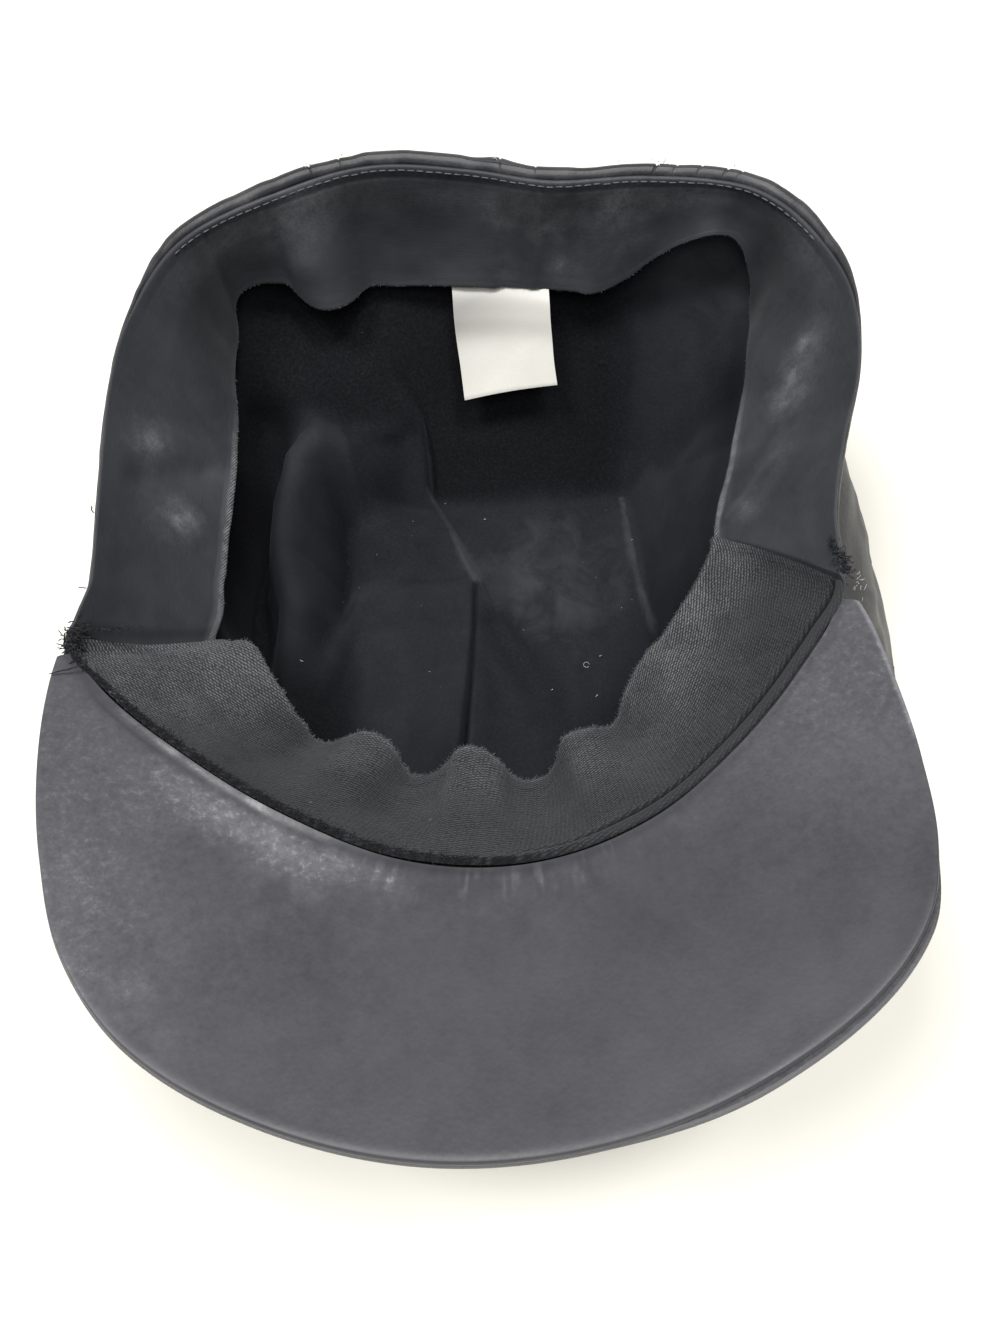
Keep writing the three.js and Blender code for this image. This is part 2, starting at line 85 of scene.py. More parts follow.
# angle, rim radius, inset and height of the sweatband's free edge, radius of the lining's floor
STATIONS = np.array(
    [
        (0, 77, 24, 71, 45), (15, 88, 26, 70, 46), (30, 100, 22, 68, 51), (45, 105, 9, 65, 58),
        (60, 95, 12, 65, 49), (75, 86, 12, 66, 44), (90, 89, 16, 67, 43), (105, 95, 19, 67, 45),
        (120, 97, 12, 65, 51), (135, 99, 14, 65, 65), (150, 92, 22.5, 68, 70),
        (165, 86, 22, 70, 69), (180, 83.5, 21, 70, 67), (195, 86.5, 22, 70, 67),
        (203, 94, 27, 71, 66), (210, 93, 29, 72, 65), (225, 89, 25, 70, 62),
        (240, 88, 26, 70, 55), (255, 89, 27, 70, 50), (270, 88.5, 27, 70, 49),
        (285, 85.5, 27.5, 70, 50), (300, 81, 27, 70, 54), (315, 78.5, 29, 72, 56),
        (330, 78, 29, 74, 51), (345, 73.5, 23, 74, 47),
    ]
)

# angle, reach of the peak's outer edge from the crown's centre
PEAK_REACH = np.array(
    [
        (204, 96), (210, 101.5), (217, 108.5), (225, 117.5), (232, 126), (240, 132.5),
        (250, 135.5), (262, 136.5), (275, 134.5), (286, 131), (295, 127), (301, 122),
        (306, 114.5), (312, 104), (320, 92), (330, 80.5),
    ]
)

# angle, and how far the rear band's free edge lies out and up from its plain line there
REAR_EDGE = np.array(
    [
        (-35, 0, 0), (10, 0, 0), (16, -0.7, 0.4), (20, -1.3, 0.8), (24, -1.7, 1),
        (28, -1.5, 0.9), (32, -1, 0.6), (36, -0.8, 0.5), (40.2, 1.8, -0.3), (42, 2.7, 4.6),
        (43.8, 2.3, 9.9), (45.3, 2.1, 13.5), (47.3, 1.9, 15.7), (49.5, 0.5, 16.3),
        (51.6, 0.2, 14.8), (54.6, 1.3, 11.2), (57, 2.2, 7.1), (59.8, 0.6, 3), (62.9, -1.5, 0.9),
        (65.9, -2.3, 0.2), (68.3, -1.2, 0.3), (72, 0.8, -0.5), (76, 2.2, -1.3), (80, 2.5, -1.5),
        (84, 2.3, -1.4), (88, 1.9, -1.1), (92, 2, -1.2), (96, 2.6, -1.6), (100, 3.6, -2.2),
        (104, 4.5, -2.7), (107.9, 4.7, -2.2), (110.3, 2.2, -1.4), (113.5, -2.3, -0.5),
        (116.8, -4.5, 0.3), (118.9, -3.9, 0.7), (120, -2, 1.2), (120.6, 0.2, 1.8), (121, 2, 2.8),
        (122, 3.3, 5.2), (123.5, 3.6, 6.7), (125.9, 4.8, 7.6), (128.6, 5.4, 7.8),
        (130.4, 5.3, 6.8), (131.5, 5, 4.2), (132.5, 3.4, 1.7), (134.3, 1.2, 0.5), (137, 0, 0),
        (140, -0.8, 0.5), (144, -0.6, 0.4), (148, 0, 0), (152, -0.2, 0.1), (156, -0.6, 0.4),
        (160, -1.3, 0.8), (164, -1.9, 1.1), (172, -1.9, 1.1), (176, -1.7, 1), (180, -1.4, 0.8),
        (184, -1.2, 0.7), (188, -0.9, 0.5), (192, -0.1, 0.1), (196, 0, 0), (205, 0, 0),
    ]
)
# angle and push into the hollow of the front band's edge
FRONT_EDGE = np.array(
    [
        (190, 0), (197, 0), (202.3, -1.2), (204.4, 0.2), (205.8, 2.0), (208, 2.2), (210.7, 1.7),
        (213.6, 1.2), (217, 1.0), (220.6, 0.5), (224.2, -0.3), (227.1, -1.1), (229.5, -2.2),
        (231.6, -2.4), (233.3, -1.7), (235.3, -0.1), (236.8, 1.3), (238.6, 2.3), (241.4, 2.5),
        (243.7, 2.2), (246, 0.7), (247.7, -1.1), (249.7, -2.3), (251.6, -2.3), (253.8, -1.5),
        (255.2, -0.3), (256.9, 1.4), (257.9, 3.2), (259.1, 4.2), (261.1, 4.5), (263.7, 3.9),
        (265.9, 2.4), (267.5, 0.8), (268.8, -0.8), (270.6, -2.1), (272.5, -2.9), (274.4, -3.1),
        (276.5, -2.8), (278.1, -1.3), (279.2, 0.5), (280.2, 1.9), (281.9, 2.5), (284.3, 2.2),
        (287, 1.2), (289.6, -0.2), (292, -1.0), (294, -0.6), (295.9, 0.3), (298.6, 1.8),
        (301.5, 2.3), (305.3, 2.4), (310.1, 1.9), (314.1, 0.8), (319.9, 0.5), (326.4, 0.2),
        (334.4, -0.3), (345.3, -0.5), (352, 0), (360, 0),
    ]
)
RUFFLE_RISE = 0.6

# share of the crown's outline at the top's seam, then at rings in towards its middle
CROWN_TOP_SHARES = (0.918, 0.885, 0.84, 0.6, 0.3)
# height, share of the widest outline, and blend from that outline to the rim's
CROWN_SIDE_PROFILE = np.array(
    [
        (3.4, 0.924, 0), (8, 0.972, 0), (16, 1, 0), (26, 1, 0.07), (36, 1, 0.3),
        (46, 1, 0.66), (52, 1, 0.88), (56.7, 1, 1),
    ]
)

# angle, height, depth inward, height of the dent and its half width in degrees
CROWN_DENTS = [
    (58, 34, 4, 14, 12), (128, 30, 5, 12, 14), (196, 38, 4, 12, 9), (238, 26, 4, 12, 12),
    (305, 34, 4, 12, 12), (95, 22, -2, 10, 8), (218, 44, -3, 9, 7), (330, 22, -2, 10, 9),
]

# Folds of the lining: line seen from above, spread, lift
LINING_FOLDS = [
    ((-28, 26), (-30, -30), 17, 11),
    ((-48, 62), (-32, 62), 13, 8),
    ((62, 34), (62, 2), 8, 4),
    ((16, 24), (18, -24), 15, 2),
    ((-20, -60), (22, -62), 9, 4),
]

# left edge's x, y and z, then the right edge's
LABEL_ROWS = np.array(
    [
        (-4.9, 79.6, 69.6, 20.4, 76.9, 69.6), (-4.8, 78.5, 67.2, 20.6, 75.3, 67.0),
        (-4.8, 76.4, 64.8, 20.7, 73.0, 64.9),
        (-4.8, 73.2, 62.6, 20.7, 69.8, 63.1),
        (-4.8, 70.6, 58.6, 20.8, 67.1, 59.4),
        (-4.5, 67.9, 53.0, 21.2, 64.4, 54.6),
        (-3.9, 62.9, 47.5, 21.6, 60.7, 49.7),
        (-3.4, 56.9, 41.1, 22.3, 57.0, 45.0),
    ]
)


# ---- Small mathematics ----


def curve(places, values, wraps=False):
    """Smooth function through a table, round the circle where it wraps."""
    x, y = np.asarray(places, float), np.asarray(values, float)
    if wraps:
        x, y = np.concatenate([x - 360, x, x + 360]), np.tile(y, 3)
    slope = np.empty(len(x))
    slope[1:-1] = (y[2:] - y[:-2]) / (x[2:] - x[:-2])
    slope[0] = (y[1] - y[0]) / (x[1] - x[0])
    slope[-1] = (y[-1] - y[-2]) / (x[-1] - x[-2])

    def at(place):
        place = np.asarray(place, float) % 360 if wraps else np.asarray(place, float)
        k = np.clip(np.searchsorted(x, place, side="right") - 1, 0, len(x) - 2)
        width = x[k + 1] - x[k]
        t = (place - x[k]) / width
        rise = t * t * (3 - 2 * t)
        bend = width * t * (1 - t) * ((1 - t) * slope[k] - t * slope[k + 1])
        return y[k] + (y[k + 1] - y[k]) * rise + bend

    return at


rim_radius, edge_inset, edge_height, floor_radius = (
    curve(STATIONS[:, 0], STATIONS[:, k], True) for k in range(1, 5)
)
peak_reach = curve(*PEAK_REACH.T)
front_wave = curve(*FRONT_EDGE.T)
rear_out, rear_up = (curve(REAR_EDGE[:, 0], REAR_EDGE[:, k]) for k in (1, 2))


def lerp(a, b, t):
    return a + (b - a) * t


def smooth(x, low, high):
    t = np.clip((x - low) / (high - low), 0, 1)
    return t * t * (3 - 2 * t)


def sink(x, low, high):
    """1 up to low and 0 from high."""
    return 1 - smooth(x, low, high)


def window(x, low, full, still, gone):
    """0 below low, 1 from full to still, and 0 again past gone."""
    return smooth(x, low, full) * sink(x, still, gone)


def bell(offset, spread):
    return np.exp(-((offset / spread) ** 2))


def quarter_round(gap, radius):
    """Height of a rounded edge, from 0 at the edge to 1 a radius away."""
    return np.sqrt(np.clip(1 - (1 - np.clip(gap / radius, 0, 1)) ** 2, 0, 1))


def turn_between(a, b):
    return (a - b + 540) % 360 - 180


def facing(angle, middle, spread):
    """A bell round one of the cap's directions, in degrees."""
    return bell(turn_between(angle, middle), spread)


def grid(*parts):
    """Points or marks from their three parts, of any shapes that fit together."""
    return np.stack(np.broadcast_arrays(*parts), -1).astype(float)


def point(angle, radius, height):
    turn = np.radians(angle)
    return grid(radius * np.cos(turn), radius * np.sin(turn), height)


def noise(points, size, seed=0):
    """Smooth noise from -1 to 1 whose features are about size across."""
    q = points / np.asarray(size, float)
    cell = np.floor(q).astype(np.int64)
    f = q - cell
    f = f * f * f * (f * (f * 6 - 15) + 10)
    total = np.zeros(points.shape[:-1])
    for corner in product((0, 1), repeat=3):
        c = cell + corner
        h = (c[..., 0] * 73856093) ^ (c[..., 1] * 19349663) ^ (c[..., 2] * 83492791)
        h = (h ^ (seed * 2654435761)) & 0xFFFFFFFF
        h = ((h ^ (h >> 15)) * 2246822519) & 0xFFFFFFFF
        h = ((h ^ (h >> 13)) * 3266489917) & 0xFFFFFFFF
        h = h ^ (h >> 16)
        weight = np.prod(np.where(corner, f, 1 - f), axis=-1)
        total += weight * ((h & 0xFFFF) / 32767.5 - 1)
    return total


def streaks(along, across, length, width, seed):
    """Noise laid on a surface, of one size along it and another across it."""
    return noise(grid(along / length, across / width, 0), 1, seed)


def line_place(x, y, line):
    """Signed distance to a line of points, positive on its left, and the share along it."""
    line = np.asarray(line, float)
    steps = np.hypot(*(line[1:] - line[:-1]).T)
    best = np.full(np.shape(x), 1e9)
    side, share = np.zeros(np.shape(x)), np.zeros(np.shape(x))
    done = 0.0
    for a, b, length in zip(line[:-1], line[1:], steps):
        along = (b - a) / length
        dx, dy = x - a[0], y - a[1]
        t = np.clip(dx * along[0] + dy * along[1], 0, length)
        gap = np.hypot(dx - t * along[0], dy - t * along[1])
        nearer = gap < best
        best = np.where(nearer, gap, best)
        side = np.where(nearer, np.sign(along[0] * dy - along[1] * dx), side)
        share = np.where(nearer, (done + t) / steps.sum(), share)
        done += length
    return best * np.where(side == 0, 1, side), share


def fade_ends(share, start, end):
    return window(share, 0, start, 1 - end, 1)


def strips(x, y, table):
    """Sum of strips beside lines: line, offset, spread, height, fade at its start and its end."""
    total = 0
    for line, offset, spread, height, start, end in table:
        gap, share = line_place(x, y, line)
        total = total + height * bell(gap - offset, spread) * fade_ends(share, start, end)
    return total


def spots(points, table, spread=1.0):
    """Sum of round spots, each with a centre, a size and a strength."""
    total = 0
    for *centre, size, strength in table:
        total = total + strength * bell(np.linalg.norm(points - centre, axis=-1), size * spread)
    return total


def spread_places(start, end, count, crowded=()):
    """Rising places from start to end, closer together near each (place, width, gain)."""
    fine = np.linspace(start, end, FINE_STEPS)
    weight = np.ones(len(fine))
    for place, width, gain in crowded:
        weight += gain * bell(fine - place, width)
    total = np.concatenate([[0], np.cumsum((weight[1:] + weight[:-1]) / 2)])
    return np.interp(np.linspace(0, total[-1], count), total, fine)


# ---- Meshes ----


def unit(vectors):
    return vectors / np.maximum(np.linalg.norm(vectors, axis=-1, keepdims=True), 1e-9)


def grid_normals(face, wraps=False):
    """Unit normals of a grid of columns. For columns that run down, they point inward."""
    across = (
        np.roll(face, -1, 0) - np.roll(face, 1, 0) if wraps else np.gradient(face, axis=0)
    )
    return unit(np.cross(across, np.gradient(face, axis=1)))


def lengths(face, axis):
    """Distance along a grid's columns or rows from their first point."""
    step = np.linalg.norm(np.diff(face, axis=axis), axis=-1)
    return np.insert(np.cumsum(step, axis=axis), 0, 0, axis=axis)


def arc(face_edge, back_edge, outward, count):
    """Rows that round an edge off from the face to the back."""
    middle, half = (face_edge + back_edge) / 2, (face_edge - back_edge) / 2
    out = unit(outward) * np.linalg.norm(half, axis=-1, keepdims=True)
    turns = [math.pi * (k + 1) / (count + 1) for k in range(count)]
    return [middle + half * math.cos(t) + out * math.sin(t) for t in turns]


def finish_mesh(name, vertices, faces, attributes, sharp=55):
    mesh = bpy.data.meshes.new(name)
    mesh.from_pydata((vertices * MM).tolist(), [], faces)
    for key, values in attributes.items():
        kind, field = ("FLOAT_VECTOR", "vector") if values.ndim == 2 else ("FLOAT", "value")
        layer = mesh.attributes.new(key, kind, "POINT")
        layer.data.foreach_set(field, values.ravel())
    mesh.shade_smooth()
    mesh.set_sharp_from_angle(angle=math.radians(sharp))
    piece = bpy.data.objects.new(name, mesh)
    bpy.context.scene.collection.objects.link(piece)
    return piece


def shell(name, face, back, wraps=False, arcs=(0, 0), poles=None, place=0.0, worn=0.0):
    """One closed body between a face and its back, two grids of columns of rows."""
    columns, rows = face.shape[:2]
    place, worn = np.broadcast_to(place, face.shape), np.broadcast_to(worn, face.shape[:2])
    blocks, marks, wear, ids = [], [], [], []

    def add(points, row, carry=0.0):
        ids.append(np.arange(columns) + columns * len(blocks))
        blocks.append(points)
        marks.append(place[:, row] + np.array([0, 1, 0]) * carry)
        wear.append(worn[:, row])

    for j in range(rows):
        add(face[:, j], j)
    if poles is None:
        for points in arc(face[:, -1], back[:, -1], face[:, -1] - face[:, -2], arcs[1]):
            add(points, -1, np.linalg.norm(points - face[:, -1], axis=-1, keepdims=True))
    for j in reversed(range(rows)):
        add(back[:, j], j)
    for points in arc(back[:, 0], face[:, 0], face[:, 0] - face[:, 1], arcs[0]):
        add(points, 0, -np.linalg.norm(points - face[:, 0], axis=-1, keepdims=True))

    here = np.arange(columns)
    following = np.roll(here, -1)
    if not wraps:
        here, following = here[:-1], following[:-1]
    faces = []
    for k, row in enumerate(ids):
        after = ids[(k + 1) % len(ids)]
        if poles is None or k != rows - 1:
            quads = np.stack([row[here], row[following], after[following], after[here]], -1)
            faces += quads.tolist()
    vertices = np.concatenate(blocks)
    marks, wear = np.concatenate(marks), np.concatenate(wear)
    if poles is not None:
        near, far = len(vertices), len(vertices) + 1
        last, first = ids[rows - 1], ids[rows]
        faces += [[int(last[a]), int(last[b]), near] for a, b in zip(here, following)]
        faces += [[far, int(first[b]), int(first[a])] for a, b in zip(here, following)]
        vertices = np.concatenate([vertices, np.asarray(poles, float)])
        marks = np.concatenate([marks, place[:1, -1], place[:1, -1]])
        wear = np.concatenate([wear, worn[:1, -1], worn[:1, -1]])
    if not wraps:
        backs = rows + arcs[1]
        last = backs + rows - 1
        for column, turn in ((0, 1), (columns - 1, -1)):
            caps = [[j, j + 1, last - 1 - j, last - j] for j in range(rows - 1)]
            if arcs[1]:
                caps.append(range(rows - 1, backs + 1))
            if arcs[0]:
                caps.append([j % len(ids) for j in range(last, len(ids) + 1)])
            faces += [[int(ids[j][column]) for j in cap][::turn] for cap in caps]
    corner = [(f[0], f[k], f[k + 1]) for f in faces for k in range(1, len(f) - 1)]
    a, b, c = (vertices[[t[k] for t in corner]] for k in range(3))
    if np.einsum("ij,ij->i", a, np.cross(b, c)).sum() < 0:
        faces = [f[::-1] for f in faces]
    return finish_mesh(name, vertices, faces, {"place": marks, "worn": wear})


def tubes(name, lines, sides=6):
    """Many thin threads in one mesh, each a line of points with a radius and tapered ends."""
    vertices, faces, along, total = [], [], [], 0
    turns = 2 * math.pi * np.arange(sides)[None, :, None] / sides
    for points, radius in lines:
        points = np.asarray(points, float)
        count = len(points)
        forward = unit(np.gradient(points, axis=0))
        start = np.array([0.31, 0.17, 0.93])
        if abs(forward[0] @ start) > 0.9:
            start = np.array([0.93, -0.3, 0.2])
        side = unit(np.cross(forward, start))
        other = np.cross(forward, side)
        taper = np.full(count, radius)
        taper[0] = taper[-1] = THREAD_TAPER * radius
        ring = side[:, None] * np.cos(turns) + other[:, None] * np.sin(turns)
        vertices.append((points[:, None] + ring * taper[:, None, None]).reshape(-1, 3))
        along.append(np.repeat(np.linspace(0, 1, count), sides))
        for i, s in product(range(count - 1), range(sides)):
            n = (s + 1) % sides
            a, b = total + i * sides, total + (i + 1) * sides
            faces.append([a + s, a + n, b + n, b + s])
        faces.append([total + s for s in reversed(range(sides))])
        faces.append([total + (count - 1) * sides + s for s in range(sides)])
        total += count * sides
    return finish_mesh(name, np.concatenate(vertices), faces, {"worn": np.concatenate(along)}, 80)


# ---- Materials ----


class Nodes:
    """Short hand for a material's node tree."""

    def __init__(self, name):
        self.material = bpy.data.materials.new(name)
        self.material.use_nodes = True
        self.tree = self.material.node_tree
        self.tree.nodes.clear()
        self.output = self.tree.nodes.new("ShaderNodeOutputMaterial")
        self.at = self.add("TexCoord").outputs["Object"]

    def put(self, value, socket):
        if isinstance(value, bpy.types.NodeSocket):
            self.tree.links.new(value, socket)
        else:
            socket.default_value = value

    def add(self, kind, inputs=None, **settings):
        node = self.tree.nodes.new("ShaderNode" + kind)
        for key, value in settings.items():
            setattr(node, key, value)
        for key, value in (inputs or {}).items():
            self.put(value, node.inputs[key])
        return node

    def attribute(self, name, output="Vector"):
        return self.add("Attribute", attribute_name=name).outputs[output]

    def parts(self, vector):
        return self.add("SeparateXYZ", {0: vector}).outputs

    def noise(self, scale, detail=3.0, roughness=0.55, distortion=0.0, vector=None):
        inputs = {"Vector": vector or self.at, "Scale": scale, "Detail": detail}
        inputs |= {"Roughness": roughness, "Distortion": distortion}
        return self.add("TexNoise", inputs).outputs["Fac"]

    def threads(self, place, *scales):
        """Fine noise drawn out along the cloth's threads."""
        scaled = self.add("VectorMath", {0: place, 1: (*scales, 1)}, operation="MULTIPLY")
        return self.noise(1.0, 2, vector=scaled.outputs[0])

    def wave(self, vector, scale, distortion, detail, detail_scale, bands):
        inputs = {"Vector": vector, "Scale": scale, "Distortion": distortion}
        inputs |= {"Detail": detail, "Detail Scale": detail_scale}
        settings = {"wave_type": "BANDS", "bands_direction": bands}
        return self.add("TexWave", inputs, **settings).outputs["Fac"]

    def cells(self, scale):
        return self.add("TexVoronoi", {"Vector": self.at, "Scale": scale}).outputs["Distance"]

    def plus(self, a, b, clamp=False):
        return self.add("Math", {0: a, 1: b}, operation="ADD", use_clamp=clamp).outputs[0]

    def times(self, a, b):
        return self.add("Math", {0: a, 1: b}, operation="MULTIPLY").outputs[0]

    def span(self, value, low, high, to_low=0.0, to_high=1.0):
        inputs = {"Value": value, "From Min": low, "From Max": high}
        inputs |= {"To Min": to_low, "To Max": to_high}
        return self.add("MapRange", inputs, clamp=True).outputs["Result"]

    def mix(self, share, *colours):
        node = self.add("Mix", {"Factor": share}, data_type="RGBA")
        sockets = [s for s in node.inputs if s.name in ("A", "B") and s.type == "RGBA"]
        for socket, value in zip(sockets, colours):
            self.put((*value, 1) if isinstance(value, tuple) else value, socket)
        return [s for s in node.outputs if s.type == "RGBA"][0]

    def rising(self, base, value, low, high, share, colour):
        """Mixes in up to a share of a colour where a value is high."""
        return self.mix(self.span(value, low, high, 0, share), base, colour)

    def falling(self, base, value, low, high, share, colour):
        """Mixes in up to a share of a colour where a value is low."""
        return self.mix(self.span(value, low, high, share, 0), base, colour)

    def bump(self, height, distance, strength, **normal):
        inputs = {"Height": height, "Distance": distance, "Strength": strength, **normal}
        return self.add("Bump", inputs).outputs["Normal"]

    def surface(self, base, roughness, specular, normal=None, sheen=()):
        """Sheen is its weight, roughness and tint, or as many of them as are set."""
        inputs = {"Base Color": base, "Roughness": roughness, "Specular IOR Level": specular}
        if normal is not None:
            inputs["Normal"] = normal
        inputs |= zip(("Sheen Weight", "Sheen Roughness", "Sheen Tint"), sheen)
        shader = self.add("BsdfPrincipled", inputs)
        self.tree.links.new(shader.outputs["BSDF"], self.output.inputs["Surface"])
        return self.material


def leather_material(name, dark, light, grain, depth, roughness, dust_and_painted_light):
    """Smooth leather: fine pebbled grain, soft mottling, lighter dust where it is worn, and painted
    glints where it is worn most.
    """
    n = Nodes(name)
    mottle = n.noise(38, 4, 0.6, 0.4)
    streak = n.noise(650, 5, 0.8)
    worn = n.attribute("worn", "Fac")
    base = n.mix(n.span(mottle, 0.3, 0.7), dark, light)
    base = n.rising(base, n.noise(13, 3, 0.5, 0.6), 0.42, 0.66, 0.5, light)
    base = n.rising(base, n.noise(190, 5, 0.7), 0.42, 0.7, 0.55, light)
    base = n.falling(base, n.noise(110, 5, 0.75, 0.6), 0.3, 0.5, 0.35, dark)
    # pale specks of dust where it is worn, and painted glints where it is worn most, both in the
    # dust colour
    specks = n.span(n.times(worn, n.span(streak, 0.1, 0.95)), 0.02, 0.9, 0, 0.8)
    painted_glints = n.times(n.span(worn, 0.45, 1.0), n.span(streak, 0.55, 0.68))
    base = n.mix(n.plus(specks, n.times(painted_glints, 0.7), clamp=True), base, dust_and_painted_light)
    rough = n.span(n.plus(mottle, streak), 0.75, 1.3, roughness - 0.07, roughness + 0.09)
    rough = n.plus(rough, n.span(worn, -1.0, -0.1, -0.25, 0.0))
    height = n.plus(n.times(n.cells(grain), 0.7), n.times(n.noise(grain * 2.2, 2), 0.3))
    normal = n.bump(n.noise(70, 4, 0.55), 0.0005, 0.16, Normal=n.bump(height, depth, 0.55))
    return n.surface(base, rough, 0.5, normal, (0.06, 0.4))


def coated_material():
    """Coated cloth: smooth and a little chalky, with a folded twill edge and painted shade where
    its mark is below 0.
    """
    n = Nodes("coated_cloth")
    place = n.attribute("place")
    marks = n.parts(place)["Z"]
    edge = n.span(marks, 0.1, 1.0)
    mottle = n.noise(60, 4, 0.6, 0.3)
    fine = n.noise(420, 4, 0.7)
    threads = n.threads(place, 0.35, 4.2)
    twill = n.wave(place, 0.72, 1.6, 2.0, 1.5, "DIAGONAL")
    base = n.mix(n.span(mottle, 0.32, 0.7), (0.019, 0.0204, 0.0242), (0.0345, 0.0362, 0.0415))
    base = n.rising(base, n.noise(20, 3, 0.5, 0.5), 0.4, 0.65, 0.45, (0.043, 0.0449, 0.0515))
    base = n.rising(base, threads, 0.45, 0.75, 0.22, (0.07, 0.072, 0.077))
    grain = n.span(n.plus(fine, n.noise(1500, 3, 0.7)), 0.7, 1.3, 0.3, 1)
    chalk = n.times(n.attribute("worn", "Fac"), grain)
    base = n.rising(base, chalk, 0.05, 0.9, 0.8, (0.22, 0.22, 0.232))
    twilled = n.span(n.plus(twill, fine), 0.75, 1.2)
    twilled = n.mix(twilled, (0.045, 0.047, 0.05), (0.23, 0.235, 0.24))
    base = n.mix(n.times(edge, n.span(fine, 0.3, 0.6, 0.35, 1.0)), base, twilled)
    # painted shade where the band's mark is below 0
    base = n.falling(base, marks, -1.0, -0.05, 0.8, (0.008, 0.0085, 0.0105))
    height = n.plus(n.times(threads, 0.5), n.times(fine, 0.5))
    height = n.plus(height, n.times(n.times(twill, edge), 0.8))
    rough = n.span(mottle, 0.3, 0.75, 0.48, 0.66)
    return n.surface(base, rough, 0.4, n.bump(height, 0.00012, 0.6), (0.12, 0.45))


def ribbed_material():
    """Thick twill: slanted ribs of short strokes, with pale lint caught in it."""
    n = Nodes("ribbed_cloth")
    place = n.attribute("place")
    slant = {"Vector": place, "Rotation": (0, 0, math.radians(-20))}
    turned = n.add("Mapping", slant, vector_type="POINT").outputs[0]
    ribs = n.wave(turned, 0.4, 2.8, 3.0, 1.9, "Y")
    strokes = n.wave(turned, 0.66, 3.6, 3.0, 2.5, "DIAGONAL")
    fine = n.noise(900, 3, 0.7)
    weave = n.times(n.span(ribs, 0.1, 0.8), n.span(strokes, 0.15, 0.85, 0.4, 1.0))
    weave = n.times(weave, n.span(n.noise(1500, 3, 0.7), 0.3, 0.65, 0.35, 1.15))
    base = n.mix(n.span(weave, 0.1, 0.85), (0.0102, 0.0107, 0.0117), (0.0475, 0.0495, 0.0525))
    base = n.rising(base, n.noise(70, 4, 0.6), 0.4, 0.68, 0.35, (0.048, 0.0496, 0.052))
    worn = n.attribute("worn", "Fac")
    base = n.rising(base, worn, 0.1, 1.0, 0.25, (0.075, 0.077, 0.08))
    lint = n.times(worn, n.span(n.plus(fine, n.times(weave, 1.8)), 0.85, 1.7))
    base = n.rising(base, lint, 0.05, 0.9, 0.95, (0.185, 0.187, 0.186))
    wobble = n.noise(0.12, 3, 0.6, vector=place)
    flecks = n.times(n.span(n.cells(160), 0.0, 0.09, 1, 0), n.span(wobble, 0.52, 0.64))
    base = n.mix(flecks, base, (0.17, 0.17, 0.17))
    strip = n.parts(place)["Z"]
    base = n.rising(base, strip, 0.2, 1.0, 0.85, (0.036, 0.0365, 0.039))
    base = n.falling(base, strip, -1.0, -0.1, 0.95, (0.004, 0.004, 0.005))
    woven = n.times(weave, n.span(strip, 0.0, 0.8, 1.6, 0.2))
    normal = n.bump(n.plus(woven, n.times(fine, 0.5)), 0.00022, 0.7)
    return n.surface(base, 0.88, 0.2, normal, (0.12, 0.5, (0.75, 0.77, 0.8, 1)))


def cotton_material():
    """Matt black cotton with a fine weave and a little lint, with painted light and shade from the
    marks that the lining gives it.
    """
    n = Nodes("cotton")
    blotch = n.noise(85, 5, 0.65, 0.5)
    cloud = n.span(n.noise(32, 4, 0.6, 0.4), 0.35, 0.68)
    base = n.mix(cloud, (0.0093, 0.0099, 0.0119), (0.0156, 0.0165, 0.0193))
    blotches = n.times(n.attribute("worn", "Fac"), blotch)
    base = n.rising(base, blotches, 0.22, 0.55, 0.75, (0.052, 0.054, 0.059))
    # the marks' Z is paler where painted light and dust lie and darker in painted shade; their X is
    # painted light in the right rear corner
    place = n.parts(n.attribute("place"))
    base = n.rising(base, place["Z"], 0.0, 1.0, 0.75, (0.032, 0.0337, 0.038))
    base = n.rising(base, place["X"], 0.0, 1.0, 0.85, (0.062, 0.065, 0.072))
    base = n.falling(base, place["Z"], -1.0, 0.0, 0.9, (0.004, 0.0042, 0.0052))
    base = n.rising(base, n.noise(1300, 3, 0.7), 0.42, 0.72, 0.2, (0.045, 0.0475, 0.053))
    base = n.falling(base, blotch, 0.35, 0.55, 0.3, (0.0075, 0.008, 0.0097))
    flecks = n.times(n.span(n.cells(210), 0.0, 0.05, 1, 0), n.span(blotch, 0.55, 0.65))
    base = n.mix(flecks, base, (0.1, 0.1, 0.1))
    normal = n.bump(n.plus(n.noise(1500, 2, 0.7), n.times(blotch, 0.8)), 0.0002, 0.6)
    return n.surface(base, 0.92, 0.12, normal, (0.05, 0.5, (0.7, 0.74, 0.85, 1)))


def satin_material():
    """Off-white woven satin, in shade at its top where the sweatband hangs over it."""
    n = Nodes("satin")
    place = n.attribute("place")
    warp, weft = n.threads(place, 9.0, 0.5), n.threads(place, 0.5, 7.0)
    woven = n.plus(warp, weft)
    base = n.mix(n.span(n.noise(90, 3), 0.35, 0.7), (0.8, 0.775, 0.7), (0.85, 0.825, 0.755))
    base = n.rising(base, woven, 0.8, 1.3, 0.35, (0.86, 0.84, 0.79))
    spot = n.parts(place)
    slant = n.plus(spot["Y"], n.times(spot["X"], 0.6))
    base = n.falling(base, slant, 20, 40, 0.85, (0.42, 0.41, 0.38))
    rough = n.span(warp, 0.3, 0.7, 0.34, 0.5)
    return n.surface(base, rough, 0.5, n.bump(woven, 0.00008, 0.5), (0.3,))


def thread_material(name, dark, light):
    n = Nodes(name)
    twist = n.noise(1800, 2, 0.6)
    base = n.mix(n.span(twist, 0.3, 0.7), dark, light)
    return n.surface(base, 0.75, 0.2, n.bump(twist, 0.0001, 0.6))


